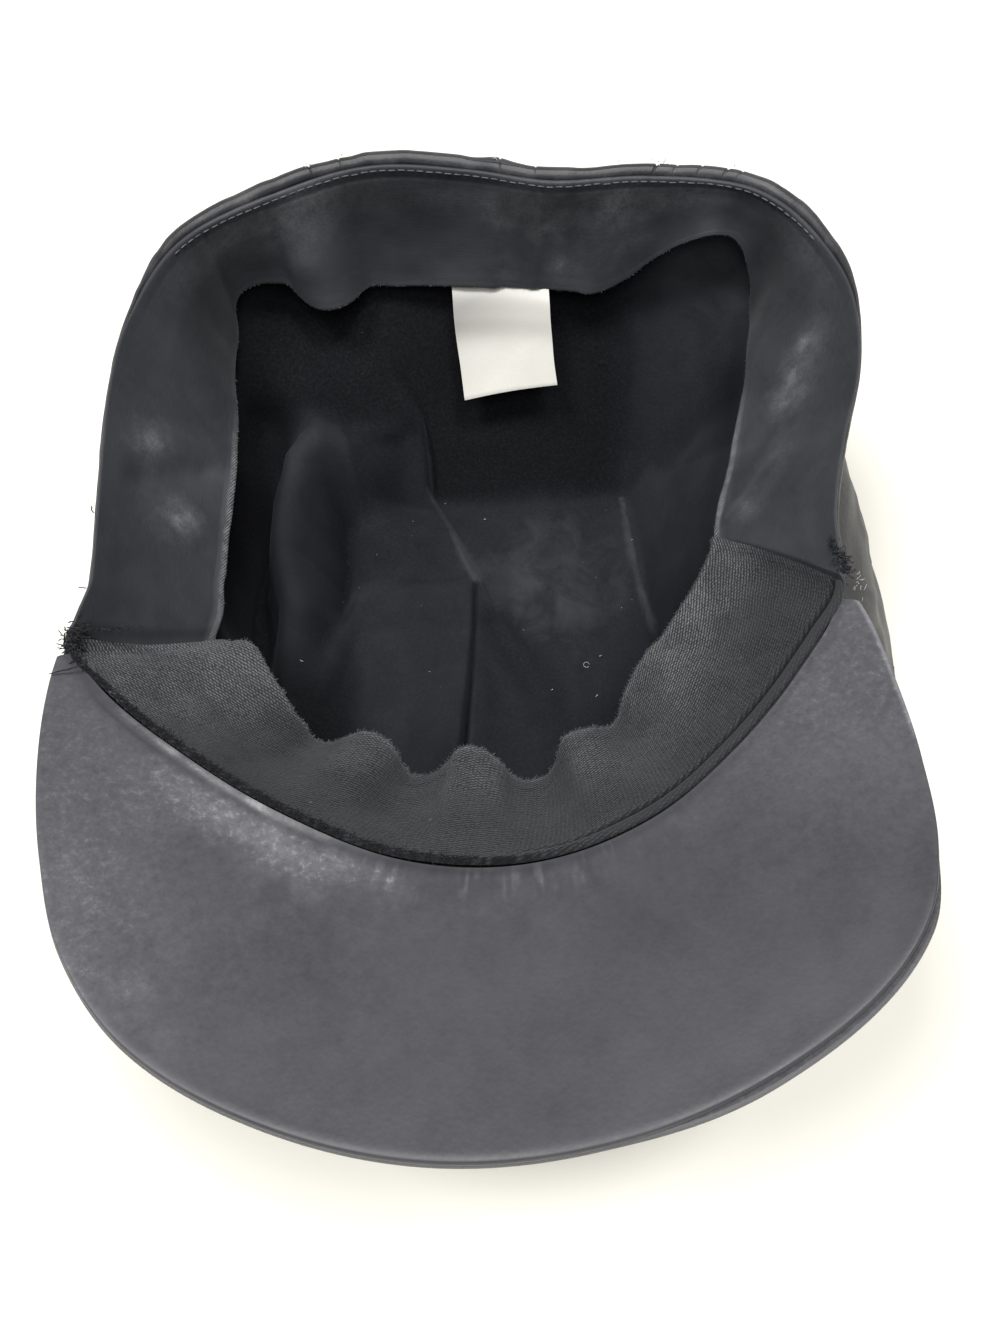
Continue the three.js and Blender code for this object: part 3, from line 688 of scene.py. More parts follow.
def floor_material():
    n = Nodes("pale_floor")
    base = n.mix(n.span(n.noise(6, 3), 0.3, 0.7), (0.86, 0.83, 0.74), (0.88, 0.85, 0.77))
    return n.surface(base, 0.6, 0.2)


LEATHER_LOOK = leather_material(
    "leather", (0.012, 0.012, 0.014), (0.027, 0.027, 0.03), 950, 0.0001, 0.5, (0.11, 0.11, 0.115)
)
PEAK_LOOK = leather_material(
    "peak_leather", (0.0318, 0.0316, 0.0367), (0.0522, 0.0518, 0.0592), 1100, 0.00004, 0.47,
    (0.2, 0.2, 0.215),
)
COATED_LOOK = coated_material()
RIBBED_LOOK = ribbed_material()
COTTON_LOOK = cotton_material()
SATIN_LOOK = satin_material()
THREAD_LOOK = thread_material("black_thread", (0.01, 0.01, 0.0115), (0.035, 0.036, 0.04))
GREY_THREAD_LOOK = thread_material("grey_thread", (0.07, 0.07, 0.075), (0.17, 0.17, 0.18))
PALE_THREAD_LOOK = thread_material("pale_thread", (0.45, 0.44, 0.42), (0.8, 0.79, 0.76))


def dress(piece, look, slot, *nodes):
    """Gives a piece its material and its body, and hides the CAD nodes that it stands for. The slot
    is not used.
    """
    piece.data.materials.append(look)
    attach(piece, "root")
    if nodes:
        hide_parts(*nodes)
    return piece


# ---- Crown ----

# millimetres of leather to a degree, round the crown, the hat band and the peak's seam
CROWN_GIRTH, BAND_GIRTH, PEAK_GIRTH = 1.7, 1.57, 1.55
# the top's flat share, the share of its turn at the seam, and how high the turn climbs
CROWN_FLAT, CROWN_TURN, CROWN_CLIMB = 0.845, 0.073, 3


def crown_radius(angle):
    turn = np.radians(angle)
    across = np.abs(np.cos(turn)) / CROWN_HALF_WIDTH
    along = np.abs(np.sin(turn)) / CROWN_HALF_LENGTH
    return (across**CROWN_SQUARENESS + along**CROWN_SQUARENESS) ** (-1 / CROWN_SQUARENESS)


def seam_relief(gap, along, seed):
    """How far leather dips beside a seam: it turns in at the seam and puckers a little."""
    turned = 1.5 * bell(gap, 1.5) - 0.35 * bell(gap - 3.0, 1.4) + 0.3 * bell(gap - 4.6, 0.55)
    return turned + 0.35 * streaks(along, gap, 5.5, 14, seed) * np.exp(-gap / 7)


def crown_top():
    """The flat oval that the cap lies on, in rings from its seam to its middle."""
    rows = np.concatenate([np.linspace(0, 1, 28) ** 1.4 * 0.35, np.linspace(0.38, 1, 12)])
    full = curve(np.linspace(0, 1, len(CROWN_TOP_SHARES)), CROWN_TOP_SHARES)(rows)[None]
    angle = (np.arange(380) * 360 / 380)[:, None]
    radius = crown_radius(angle)
    climb = CROWN_CLIMB * np.clip((full - CROWN_FLAT) / CROWN_TURN, 0, 1) ** 1.7
    face = point(angle, radius * full, climb)
    gap = (full[:, :1] - full) * radius
    slack = 0.3 * (1 + noise(face, 24, 5)) * window(gap, 1, 12, 26, 40)
    relief = np.maximum(seam_relief(gap, angle * CROWN_GIRTH, 11), -0.02)
    face[..., 2] += relief * sink(gap, 10, 16) + slack * 0.5
    face[..., 2] = np.maximum(face[..., 2], 0)
    face[..., :2] *= (1 - 0.5 * bell(gap, 1.2) / radius)[..., None]
    back = face + (0, 0, TOP_LEATHER)
    back[..., :2] *= (1 - 0.6 / radius)[..., None]
    worn = 0.35 * bell(gap - 5, 4) + 0.25 * smooth(noise(face, 30, 8), 0, 0.8)
    poles = [(0, 0, 0), (0, 0, TOP_LEATHER)]
    piece = shell("crown_top_panel", face, back, True, (3, 0), poles, worn=worn)
    dress(piece, LEATHER_LOOK, "leather", "crown_top")


def crown_side(name, node, start, end):
    """Half of the flared side, in columns from the hat band to the top's seam."""
    share = np.concatenate([[0, 0.004, 0.009, 0.015, 0.022], np.linspace(0.032, 0.968, 210)])
    share = np.concatenate([share, 1 - share[4::-1]])
    angle = lerp(start + 0.1, end - 0.1, share)[:, None]
    t = np.concatenate([[0, 0.012, 0.026, 0.042, 0.06], np.linspace(0.08, 0.93, 50)])
    t = np.concatenate([t, [0.945, 0.958, 0.97, 0.982, 0.992, 1]])
    count = len(CROWN_SIDE_PROFILE)
    spot = (1 - t[None]) * (count - 1)
    height, full, blend = (curve(np.arange(count), k)(spot) for k in CROWN_SIDE_PROFILE.T)
    radius = lerp(crown_radius(angle) * full, rim_radius(angle), blend)
    dent = sum(
        depth * facing(angle, at, spread) * bell(height - middle, run)
        for at, middle, depth, run, spread in CROWN_DENTS
    )
    held = np.sin(np.pi * smooth(height, 0, BAND_BOTTOM))
    face = point(angle, radius - dent * held, height)
    girth = angle * CROWN_GIRTH
    slack = grid(girth / 24, height / 9 + girth / 60, 0)
    wrinkle = 1.1 * noise(slack, 1, 3) + 0.45 * noise(slack * 2.3, 1, 4)
    crease = 0.6 * (1 - np.abs(noise(slack * 1.4, 1, 9))) ** 6
    ends = np.minimum(angle - angle[0], angle[-1] - angle) * 1.75
    low = np.hypot(height - height[:, -1:], (full - full[:, -1:]) * CROWN_HALF_WIDTH)
    high = height[:, :1] - height
    relief = (wrinkle - crease) * held * smooth(ends, 0, 9) + seam_relief(low, girth, 21)
    relief += seam_relief(high, girth, 22) + seam_relief(ends, height, 23)
    face = face + grid_normals(face) * relief[..., None]
    back = face + grid_normals(face) * TOP_LEATHER
    edge = bell(high - 4, 4) + bell(low - 4, 4) + bell(ends - 4, 3)
    worn = 0.3 * edge + 0.5 * smooth(noise(face, (26, 26, 12), 31), 0.1, 0.9)
    dress(shell(name, face, back, worn=worn), LEATHER_LOOK, "leather", node)
    return face


crown_top()
crown_faces = [
    crown_side("crown_side_right_panel", "crown_side_right", -90, 90),
    crown_side("crown_side_left_panel", "crown_side_left", 90, 270),
]


# ---- Hat band ----

# Cracks across the rolled hem: angle, depth
NICKS = [(113.1, 0.5), (108.6, 0.35), (84.1, 0.45), (78.3, 0.3), (60.2, 0.7), (57.5, 0.3),
         (54.3, 0.35), (51.0, 0.45), (49.2, 0.3)]
REAR_SEAM = 84.6


def peak_height(x, y):
    rise = PEAK_SLOPE * (PEAK_SEAM_FRONT_Y - y)
    return RIM_HEIGHT + rise + (x - PEAK_CENTRE_X) ** 2 / (2 * PEAK_BEND_RADIUS)


def clear_of_peak(angle):
    wanted = np.asarray(angle, float) % 360
    start = smooth(wanted, PEAK_START - 4, PEAK_START - 1)
    return 1 - start + start * smooth(wanted, PEAK_END + 1, PEAK_END + 4)


def hemmed(angle):
    """1 where the rolled hem shows, round the rear, and 0 where the sweatband covers it."""
    return window(np.asarray(angle, float) % 360, 14, 44, 126, 158)


HEM_BEAD = 1.9
HEM_DEPTH = 8


def hat_band():
    """The upright band with its rolled hem, in columns from the rim to the crown."""
    crowded = [(a, 0.5, 9) for a, _ in NICKS] + [(REAR_SEAM, 2.5, 3), (204, 3, 2), (330, 3, 2)]
    angle = spread_places(0, 360, 641, crowded)[:-1, None]
    hem, shown, rim = clear_of_peak(angle), hemmed(angle), rim_radius(angle)
    seam = point(angle, rim, 0)
    plies = PLY_UNDER + SEAM_GAP + PLY_TOP + PEAK_SEAT
    under = peak_height(seam[..., 0], seam[..., 1]) - plies
    nick = sum(depth * facing(angle, a, 0.16) for a, depth in NICKS)
    over = facing(angle, REAR_SEAM, 2.4)
    girth = angle * BAND_GIRTH
    uneven = 0.3 * streaks(girth, 0, 9, 1, 41) + 0.16 * streaks(girth, 0, 3.1, 1, 46)
    rise = 0.6 * over + uneven - 0.5 * nick - 0.5 * (1 - shown)
    top = lerp(under, RIM_HEIGHT + rise, hem)
    fall = np.concatenate([np.linspace(0, 6.5, 20), np.full(26, HEM_DEPTH)])[None]
    share = np.concatenate([np.zeros(21), np.linspace(0, 1, 26)[1:]])[None]
    height = lerp(top - fall, BAND_BOTTOM, share)
    bead = quarter_round(fall, HEM_BEAD)
    outer = (0.9 + 0.5 * shown) * bead - (0.15 + 0.5 * shown) * smooth(fall, 3.0, 5.2) - 0.75
    outer -= 0.25 * bell(fall - 4.4, 0.5)
    inner = shown * (-0.65 + 1.75 * bead - 1.1 * smooth(fall, 3.4, 5.0))
    inner -= (1 - shown) * 1.1 * sink(fall, 4, 7)
    flat = point(angle, rim, height)
    soft = 0.5 * noise(flat, (16, 16, 12), 42) + 0.15 * noise(flat, (5, 5, 4), 43) - 0.3
    body = smooth(fall, 4, 8) * sink(height, 60, BAND_BOTTOM)
    out = hem * (outer + 0.5 * over - 0.8 * nick * bell(fall - 1.5, 2.2))
    out += soft * body - seam_relief(height - BAND_BOTTOM, girth, 44) * share
    face = point(angle, rim + out, height)
    back = point(angle, rim - LEATHER - hem * (inner + 0.3 * over), height)
    worn = 0.7 * bell(fall - 1.0, 1.3) * smooth(noise(face, 5, 45), -0.4, 0.7) + 0.12
    piece = shell("hat_band_leather", face, back, True, (3, 0), worn=worn)
    dress(piece, LEATHER_LOOK, "leather", "hat_band")
    return face


hat_band_face = hat_band()


# ---- Peak ----

# Scuffs on the peak: x, y, radius, strength
PEAK_SCUFFS = [
    (-50, -76, 6, 0.8), (-43, -82, 7, 1.0), (-36, -88, 7, 0.7), (-24, -91, 6, 0.5),
    (-9, -93, 7, 0.4), (5, -92, 6, 0.4), (-73, -101, 12, 0.5), (-65, -110, 9, 0.4),
    (-44, -98, 18, 0.2), (23.3, -124.4, 1.4, 1.2), (30, -84, 8, 0.2), (-62, -70, 12, 0.45),
    (-30, -112, 16, 0.15), (45, -70, 6, 0.2), (-76, -86, 8, 0.3),
]

PEAK_ROWS = np.concatenate([np.linspace(0, 0.22, 34), np.linspace(0.235, 0.95, 36)])
PEAK_EDGE_ROWS = [0.958, 0.967, 0.976, 0.984, 0.991, 0.996, 1.0]


def plain_ply(columns, rows, swell, depth):
    """A ply before its folds: angles, its distances from the seam and the free edge, points."""
    angle = spread_places(PEAK_START, PEAK_END, columns)[:, None]
    inner = rim_radius(angle) - PEAK_OVERLAP
    reach = peak_reach(angle) + swell * window(angle, 272, 284, 300, 306)
    radius = lerp(inner, reach, np.concatenate([rows, PEAK_EDGE_ROWS]))
    face = point(angle, radius, 0)
    face[..., 2] = peak_height(face[..., 0], face[..., 1]) - depth
    return angle, radius - inner, reach - radius, face


def peak_under():
    """The ply that shows: rolled at the left of its seam, creased at the middle, scuffed, with
    painted glints by the seam and a painted highlight along its right edge.
    """
    angle, gap, left, face = plain_ply(390, PEAK_ROWS, 0, 0)
    x, y = face[..., 0], face[..., 1]
    lowest = face[..., 2] - PLY_UNDER - 0.1
    girth = angle * PEAK_GIRTH
    near = window(angle, 203, 216, 238, 262)
    broken = 1 + 0.1 * streaks(girth, gap, 2.6, 6, 57) + 0.12 * streaks(girth, gap, 9, 9, 58)
    roll = 1.25 * near * broken * sink(gap, -1.0, 2.3) - 0.6 * (1 - near) * bell(gap, 1.3)
    roll += 0.45 * near * bell(gap - 4, 4)
    creased = window(angle, 243, 254, 285, 300)
    fan = streaks(girth, gap, 1.9, 15, 51) + 0.6 * streaks(girth, gap, 4.5, 18, 52)
    fan = fan * 0.22 * creased * window(gap, 0.5, 3, 6, 15)
    broad = 0.5 * noise(face, 38, 53) + 0.18 * noise(face, 13, 54)
    broad = broad * smooth(gap, 2, 14) * smooth(left, 1, 10)
    face[..., 2] += roll + fan + broad - 0.5 * (1 - quarter_round(left, 1.7))
    back = face - (0, 0, PLY_UNDER)
    back[..., 2] = np.clip(back[..., 2], lowest, lowest + 0.2)
    patch = smooth(noise(face, 5, 55) + 0.6 * noise(face, 1.6, 56), -0.9, 1.0)
    # painted highlights: short pale streaks across the creases by the seam
    lines = smooth(streaks(girth, gap, 0.8, 7, 59), 0.25, 0.9) * creased
    lines = lines * bell(gap - 3.2, 2.4) * (1 - 0.8 * smooth(angle, 274, 286))
    worn = 0.42 * spots(face[..., :2], PEAK_SCUFFS) * patch + 0.05 + 0.7 * lines
    # paler towards the left end and over the right front
    worn += 0.3 * bell(np.hypot(x + 88, y + 78), 42) + 0.25 * sink(x, -80, -50)
    worn += 0.55 * smooth(x, 5, 60) * smooth(y, -110, -55)
    # painted highlight: a pale line along the outer edge at the right end
    worn += 1.6 * bell(left - 0.5, 0.5) * smooth(angle, 312, 317)
    # painted glints in a band beside the rolled seam
    worn += 0.95 * near * bell(gap - 4.4, 4.0) * smooth(angle, 220, 234)
    worn -= 1.1 * near * bell(gap - 0.8, 1.4)
    piece = shell("visor_under_leather", face, back, arcs=(0, 3), worn=worn)
    dress(piece, PEAK_LOOK, "peak_leather", "visor_under")


def peak_top():
    """The ply below it as the cap lies, which passes it by a hair at the right front."""
    _, _, left, face = plain_ply(280, PEAK_ROWS[::2], 1.1, PLY_UNDER + SEAM_GAP)
    worn = 0.1 + 0.5 * bell(left, 2.5)
    piece = shell("visor_top_leather", face, face - (0, 0, PLY_TOP), arcs=(0, 3), worn=worn)
    dress(piece, LEATHER_LOOK, "leather", "visor_top")


peak_under()
peak_top()


# ---- Sweatband ----

# Chalky scuffs: x, y, z, radius, strength
CHALK = [
    (-75, 16, 87, 4.5, 1.1), (-71, -1, 80, 4, 1.1), (-69, 1, 78, 3, 0.9), (76, 34, 84, 4, 1.1),
    (74, 26, 81, 4.5, 1.1), (71, 20, 80, 4, 0.9), (66, 5, 80, 5, 0.5), (57, -6, 77, 4, 0.7),
    (8, 79, 82, 3, 0.6), (19.5, 77, 81, 3, 0.5), (9, 74, 70, 3, 0.6), (23, 74, 71, 3, 0.6),
    (-40, 82, 88, 10, 0.24), (-43, 78, 82, 10, 0.24), (38, 80, 86, 13, 0.5), (-84, -10, 90, 8, 0.3),
    (-62, 76, 88, 9, 0.3), (22, 84, 88, 10, 0.35),
]
# Puckers down the rear band near the label: angle, height
PUCKERS = [(85.4, 0.5), (83.0, -0.25), (77.2, 0.5), (74.6, -0.25), (72.2, 0.3)]
# The ridge along the right of the rear band: angle, share of the way down
RIDGE = np.array([(-13, 0.92), (-5, 0.72), (4, 0.55), (16, 0.44), (26, 0.34), (34, 0.3)])
JOIN_LAP = 0.8
GROOVE = 2.1


def sweat_edge(angle):
    """Radius and height of the sweatband's free edge."""
    wave = front_wave(np.clip(np.asarray(angle) % 360, 190.1, 359.9))
    rear = np.clip(turn_between(np.asarray(angle, float), 85) + 85, -34.9, 204.9)
    radius = rim_radius(angle) - edge_inset(angle) - wave + rear_out(rear)
    return radius, edge_height(angle) + RUFFLE_RISE * wave + rear_up(rear)


def sweat_grid(start, end, steps, rows, top, inset, shown):
    """The band's plain face: angles, shares down it and its points.

    Start and end are angles at the rim and at the free edge. Top and inset are two values each,
    and shown, a function of the angle and the share across, goes from the first to the second.
    """
    down = np.concatenate([np.linspace(0, 0.16, rows // 3), np.linspace(0.18, 0.86, rows // 2)])
    down = np.concatenate([down, np.linspace(0.875, 1, rows - len(down))])[None]
    across = np.linspace(0, 1, steps)[:, None]
    angle = lerp(lerp(*start, down), lerp(*end, down), across)
    radius, height = sweat_edge(angle)
    belly = np.sin(np.pi * down)
    hem = shown(angle, across)
    plain = lerp(rim_radius(angle) - lerp(*inset, hem), radius, down) + belly
    return angle, down, point(angle, plain, lerp(lerp(*top, hem), height, down) - belly)


def sweatband_rear():
    """The coated length round the sides and the back."""
    start = (JOIN_RIGHT_RIM - JOIN_LAP - 360, JOIN_RIGHT_EDGE - JOIN_LAP - 360)
    angle, down, face = sweat_grid(
        start, (JOIN_LEFT + 0.6,) * 2, 480, 57, (95.3, 93.8), (1.5, 4.6), lambda a, _: hemmed(a)
    )
    fall, girth = lengths(face, 1), lengths(face, 0)
    left, rest = fall[:, -1:] - fall, girth[-1:] - girth
    shown, middle = hemmed(angle), bell(down - 0.5, 0.33)

    relief = (0.55 * noise(face, 17, 61) + 0.16 * noise(face, 5, 62)) * smooth(fall, 3, 10)
    crease = facing(angle + 14 * (down - 0.5), 172, 3.2)
    relief -= 1.5 * smooth(left, 1, 9) * crease * smooth(fall, 4, 12)
    relief += 1.1 * facing(angle + 10 * (down - 0.5), 165, 4.5) * middle
    relief += 0.9 * facing(angle, 182, 4) * middle
    beside = down - np.interp(angle, *RIDGE.T)
    relief += 1.1 * bell(beside, 0.15) * window(angle, -12, -6, 22, 33)
    relief -= 0.45 * bell(beside - 0.26, 0.12) * window(angle, -12, -6, 8, 20)
    for at, size in PUCKERS:
        relief += size * facing(angle, at, 1.3) * smooth(fall, 4, 11)
    relief += 1.5 * facing(angle, 118, 6) * smooth(down, 0.25, 0.75)
    # its ends tuck in, and its top edge and its folded twill edge stand out a little
    relief -= 1.5 * sink(np.minimum(girth, rest), 0.2, 1.3)
    relief -= 1.6 * sink(rest, 2.5, 6.0)
    relief += shown * (0.15 * bell(fall - 0.8, 0.8) - 0.12 * bell(fall - 2.6, 0.5))
    plain = window(angle, 14, 34, 140, 158)
    relief += 0.3 * (1 - 0.75 * plain) * sink(left, 1.5, lerp(2.3, 3.6, plain))
    face = face + grid_normals(face) * relief[..., None]
    normal = grid_normals(face)
    cloth = lerp(COATED_CLOTH, 0.7, (1 - shown) * sink(fall, 1, 4))

    twill = sink(left, 0.7, 1.9) * (1 - 0.85 * window(angle, 14, 30, 146, 162))
    chalk = 0.38 * spots(face, CHALK, 1.5) + 0.6 * spots(face, CHALK, 0.42)
    worn = chalk * (0.55 + 0.45 * smooth(noise(face, 2.6, 63), -0.8, 0.8))
    worn += 0.3 * shown * bell(fall - 5, 6) * smooth(noise(face, 14, 65), -0.7, 0.5)
    # painted shade: darker at the back, at the left side and in the left rear corner, carried in
    # the mark's Z
    shade = 0.75 * facing(angle, 101, 11) * bell(down - 0.5, 0.42)
    shade += 0.25 * facing(angle, 190, 16)
    shade += 0.4 * window(angle, 119.5, 122, 140, 170) * smooth(down, 0.3, 0.4)
    place = grid(girth, fall, twill - shade * (twill < 0.02))
    back = face - normal * cloth[..., None]
    piece = shell("sweatband_rear_cloth", face, back, arcs=(3, 3), place=place, worn=worn)
    dress(piece, COATED_LOOK, "coated_cloth", "sweatband_rear")
    return face, normal, fall


def sweatband_front():
    """The ribbed length behind the peak."""
    end = (JOIN_RIGHT_RIM - JOIN_STEP, JOIN_RIGHT_EDGE)
    angle, down, face = sweat_grid(
        (JOIN_LEFT - JOIN_LAP, JOIN_LEFT), end, 470, 60, (95.5, 95.2), (1.3, 2.6),
        lambda _, across: smooth(np.minimum(across, 1 - across), 0.01, 0.08),
    )
    fall, girth = lengths(face, 1), lengths(face, 0)
    left, ends = fall[:, -1:] - fall, np.minimum(girth, girth[-1:] - girth)
    # the right half has a strip along its seam, marked off by a groove
    second = smooth(angle, 262, 285)

    relief = 0.5 * noise(face, 15, 71) * smooth(fall, 5, 14)
    relief += 0.22 * noise(face, 4.5, 72) * smooth(fall, 2, 6)
    relief += 0.15 * bell(fall - 0.5, 0.6) + 0.25 * sink(left, 3.4, 5.0)
    relief += second * (0.3 * bell(fall - GROOVE - 1.0, 0.7) - 0.8 * bell(fall - GROOVE, 0.38))
    relief += 0.5 * sink(ends, 1.0, 3.0) * smooth(fall, 1, 4)
    face = face + grid_normals(face) * relief[..., None]
    normal = grid_normals(face)

    crests = smooth(front_wave(np.clip(angle, 190.1, 359.9)), -0.5, 3)
    worn = 0.6 * sink(left, 0.2, 1.6) + 0.6 * crests * smooth(down, 0.3, 0.95)
    worn += 0.35 * bell(angle - 300, 14) * bell(down - 0.55, 0.45)
    worn += 0.9 * smooth(angle, 302, 320) * bell(down - 0.95, 0.3)
    worn += 0.85 * sink(angle, 210, 230) + 0.06
    worn -= 0.3 * bell(angle - 250, 10) * (1 - down)
    worn *= lerp(0.5, 1.0, smooth(noise(face, 6, 73) + 0.5 * noise(face, 2, 74), -0.9, 0.9))
    strip = second * sink(fall, GROOVE - 0.8, GROOVE - 0.3)
    strip -= 1.2 * second * bell(fall - GROOVE, 0.45)
    ragged = -0.2 + 0.5 * noise(face, 0.9, 75)
    strip -= (1 - second) * 1.1 * sink(fall, ragged, ragged + 0.6)
    place = grid(girth[:, 12:13], fall, strip - 0.7 * bell(fall + 0.4, 0.5))
    back = face - normal * RIBBED_CLOTH
    piece = shell("sweatband_front_cloth", face, back, arcs=(3, 3), place=place, worn=worn)
    dress(piece, RIBBED_LOOK, "ribbed_cloth", "sweatband_front")
    return face, normal


rear_face, rear_normal, rear_fall = sweatband_rear()
front_face, front_normal = sweatband_front()


# ---- Lining ----

# the crest of the big roll: x, y, height
ROLL = np.array(
    [
        (-36.5, 50, 37.5), (-43, 48.6, 44.5), (-49.6, 39.8, 46.5), (-53.5, 28.4, 43.5),
        (-55.1, 16.5, 39.5), (-52.9, 2.6, 34.5), (-54.9, -8, 28.5), (-57, -20, 20),
    ],
    float,
)
ROLL_CREVICE = [(-50, 62), (-60, 54), (-65, 42), (-67.5, 26), (-67, 6), (-67, -14)]
SLIT = [(-3.1, 18.4), (-4.2, 4.5), (-6.7, -13.9), (-9.7, -33.1), (-13, -50)]
LOBE_EDGE = [(-24, 69), (-19.5, 64.4), (-15.6, 58.3), (-14.5, 51.8), (-14.6, 44.6)]
FLOOR_CREASE = [(-14.6, 44.6), (-10.1, 36.3), (-3.1, 18.4)]
RIGHT_CREASE = [(41.9, 42), (42.2, 28.3), (43.5, 11.4), (45.4, -5.3), (46, -14)]
CORNER_CREASE = [(41.9, 41.2), (44, 50), (45.5, 59.2), (45.1, 70)]
FLAP_CREASE = [(-33.7, 11.4), (-14.2, 14.8), (-3.1, 18.4)]
LEFT_VALLEY = [(-43, 45), (-41.9, 33.1), (-41.2, 21.4), (-43.4, 9), (-47.4, -2.6), (-51.5, -14)]
FLAP_RIDGE = [(-33.6, 17), (-37.6, 8), (-41.8, -3), (-46.3, -13), (-51, -23)]
WALL_FOLD = [(49, 48), (52, 43.5), (57.5, 33), (64.5, 29), (70, 28)]
RIGHT_VALLEY = [(-1.7, 11.2), (4.4, -2.1), (11.4, -18.2), (13.2, -27.3), (15, -40)]
# Ridges and valleys: line, offset from it, spread, lift, fade at its start and its end
LINE_FOLDS = [
    (LOBE_EDGE, 0.8, 0.8, -1.2, 0.3, 0.1), (CORNER_CREASE, 0, 2.4, -1.6, 0.1, 0.4),
    (RIGHT_CREASE, 0, 0.85, 1.5, 0.05, 0.2), (RIGHT_CREASE, 2.2, 1.4, -0.9, 0.05, 0.2),
    (FLAP_CREASE, 0, 1.3, -0.8, 0.3, 0.05), (ROLL_CREVICE, 0, 3.6, -5.0, 0.15, 0.2),
    (LEFT_VALLEY, 0, 3.4, -7.0, 0.2, 0.3), (FLAP_RIDGE, 0, 3.4, 4.0, 0.25, 0.3),
    (RIGHT_VALLEY, 0, 5.0, -3.6, 0.15, 0.3), (RIGHT_VALLEY, 9, 5.0, 1.6, 0.15, 0.3),
]
# The same for the paler and darker strips, painted light on the roll and the flap's ridge and
# painted shade in the valleys, with a share of paler or darker colour in place of the lift
LINE_PAINTED_SHADE = [
    (ROLL[:, :2], 2, 8, 1.0, 0.02, 0.2), (RIGHT_VALLEY, 0, 4.5, -0.4, 0.15, 0.3),
    (LEFT_VALLEY, 0, 2.4, -0.7, 0.2, 0.25), (FLAP_RIDGE, 0, 2.8, 0.35, 0.2, 0.3),
]
BAG_CLOTH = 0.8
BAG_BOTTOM = 5.6


def lining_radii(angle):
    top = rim_radius(angle) - LEATHER - LINING_CLOTH - 2 * SEAM_GAP
    knee = np.minimum(top, rim_radius(angle) - edge_inset(angle) + LINING_CLEARANCE)
    return top, knee, floor_radius(angle)


def step(gap, low, high, reach):
    """Cloth that rises at a line and sinks back over a reach on its right."""
    return smooth(-gap, low, high) * np.exp(-np.maximum(-gap, 0) / reach)


def folds(x, y):
    """How far the lining lies in from its plain bag, at places seen from above."""
    lift = strips(x, y, LINE_FOLDS)
    for start, end, spread, height in LINING_FOLDS:
        lift += height * bell(line_place(x, y, [start, end])[0], spread)
    gap, share = line_place(x, y, SLIT)
    size = lerp(0.8, 4.6, smooth(share, 0, 0.75)) * smooth(share, 0, 0.06)
    lift += size * sink(-gap, -0.35, 0.25) * np.exp(-np.maximum(gap, 0) / 13)
    slit = bell(-gap - 0.9, lerp(0.5, 1.3, share)) * smooth(share, 0, 0.05)
    lift -= lerp(1.5, 4.5, share) * slit
    gap, share = line_place(x, y, LOBE_EDGE)
    lift += 3.6 * step(gap, -0.4, 0.8, 12) * fade_ends(share, 0.35, 0.05)
    lift += 2.0 * step(line_place(x, y, FLOOR_CREASE)[0], -1.4, 1.6, 9)
    return lift + 0.5 * bell(line_place(x, y, FLAP_CREASE)[0] + 2.4, 1.9)


def soften(face, weight):
    """Each row drawn towards its neighbours, less with a greater weight."""
    eased = face.copy()
    eased[:, 1:-1] = (face[:, :-2] + weight * face[:, 1:-1] + face[:, 2:]) / (weight + 2)
    return eased


def raise_roll(face):
    """Lifts the floor behind the lobe, then the big roll, over what lies there."""
    x, y, z = (face[..., k] for k in range(3))
    gap, share = line_place(x, y, LOBE_EDGE[1:] + FLOOR_CREASE[1:])
    behind = smooth(-gap, -0.6, lerp(1.0, 3.5, share)) * smooth(x, -66, -56)
    filled = np.maximum(7 + 30 * smooth(y, 31, 63) - z, 0) * behind
    z += filled * sink(share, 0.55, 0.85)
    gap, share = line_place(x, y, ROLL[:, :2])
    run = lengths(ROLL[:, :2], 0)
    crest = np.interp(share, run / run[-1], ROLL[:, 2])
    tip = 1 - smooth(share, 0.02, 0.3)
    inner = np.exp(-np.abs(gap / (9.2 + 1.2 * tip)) ** (2.6 - 0.4 * tip))
    outer = np.exp(-np.abs(gap / (6.2 + 4.2 * tip)) ** (3.4 - 1.2 * tip))
    z += np.maximum(crest - z, 0) * np.where(gap > 0, inner, outer)
    face[..., 2] = np.maximum(z, BAG_BOTTOM)


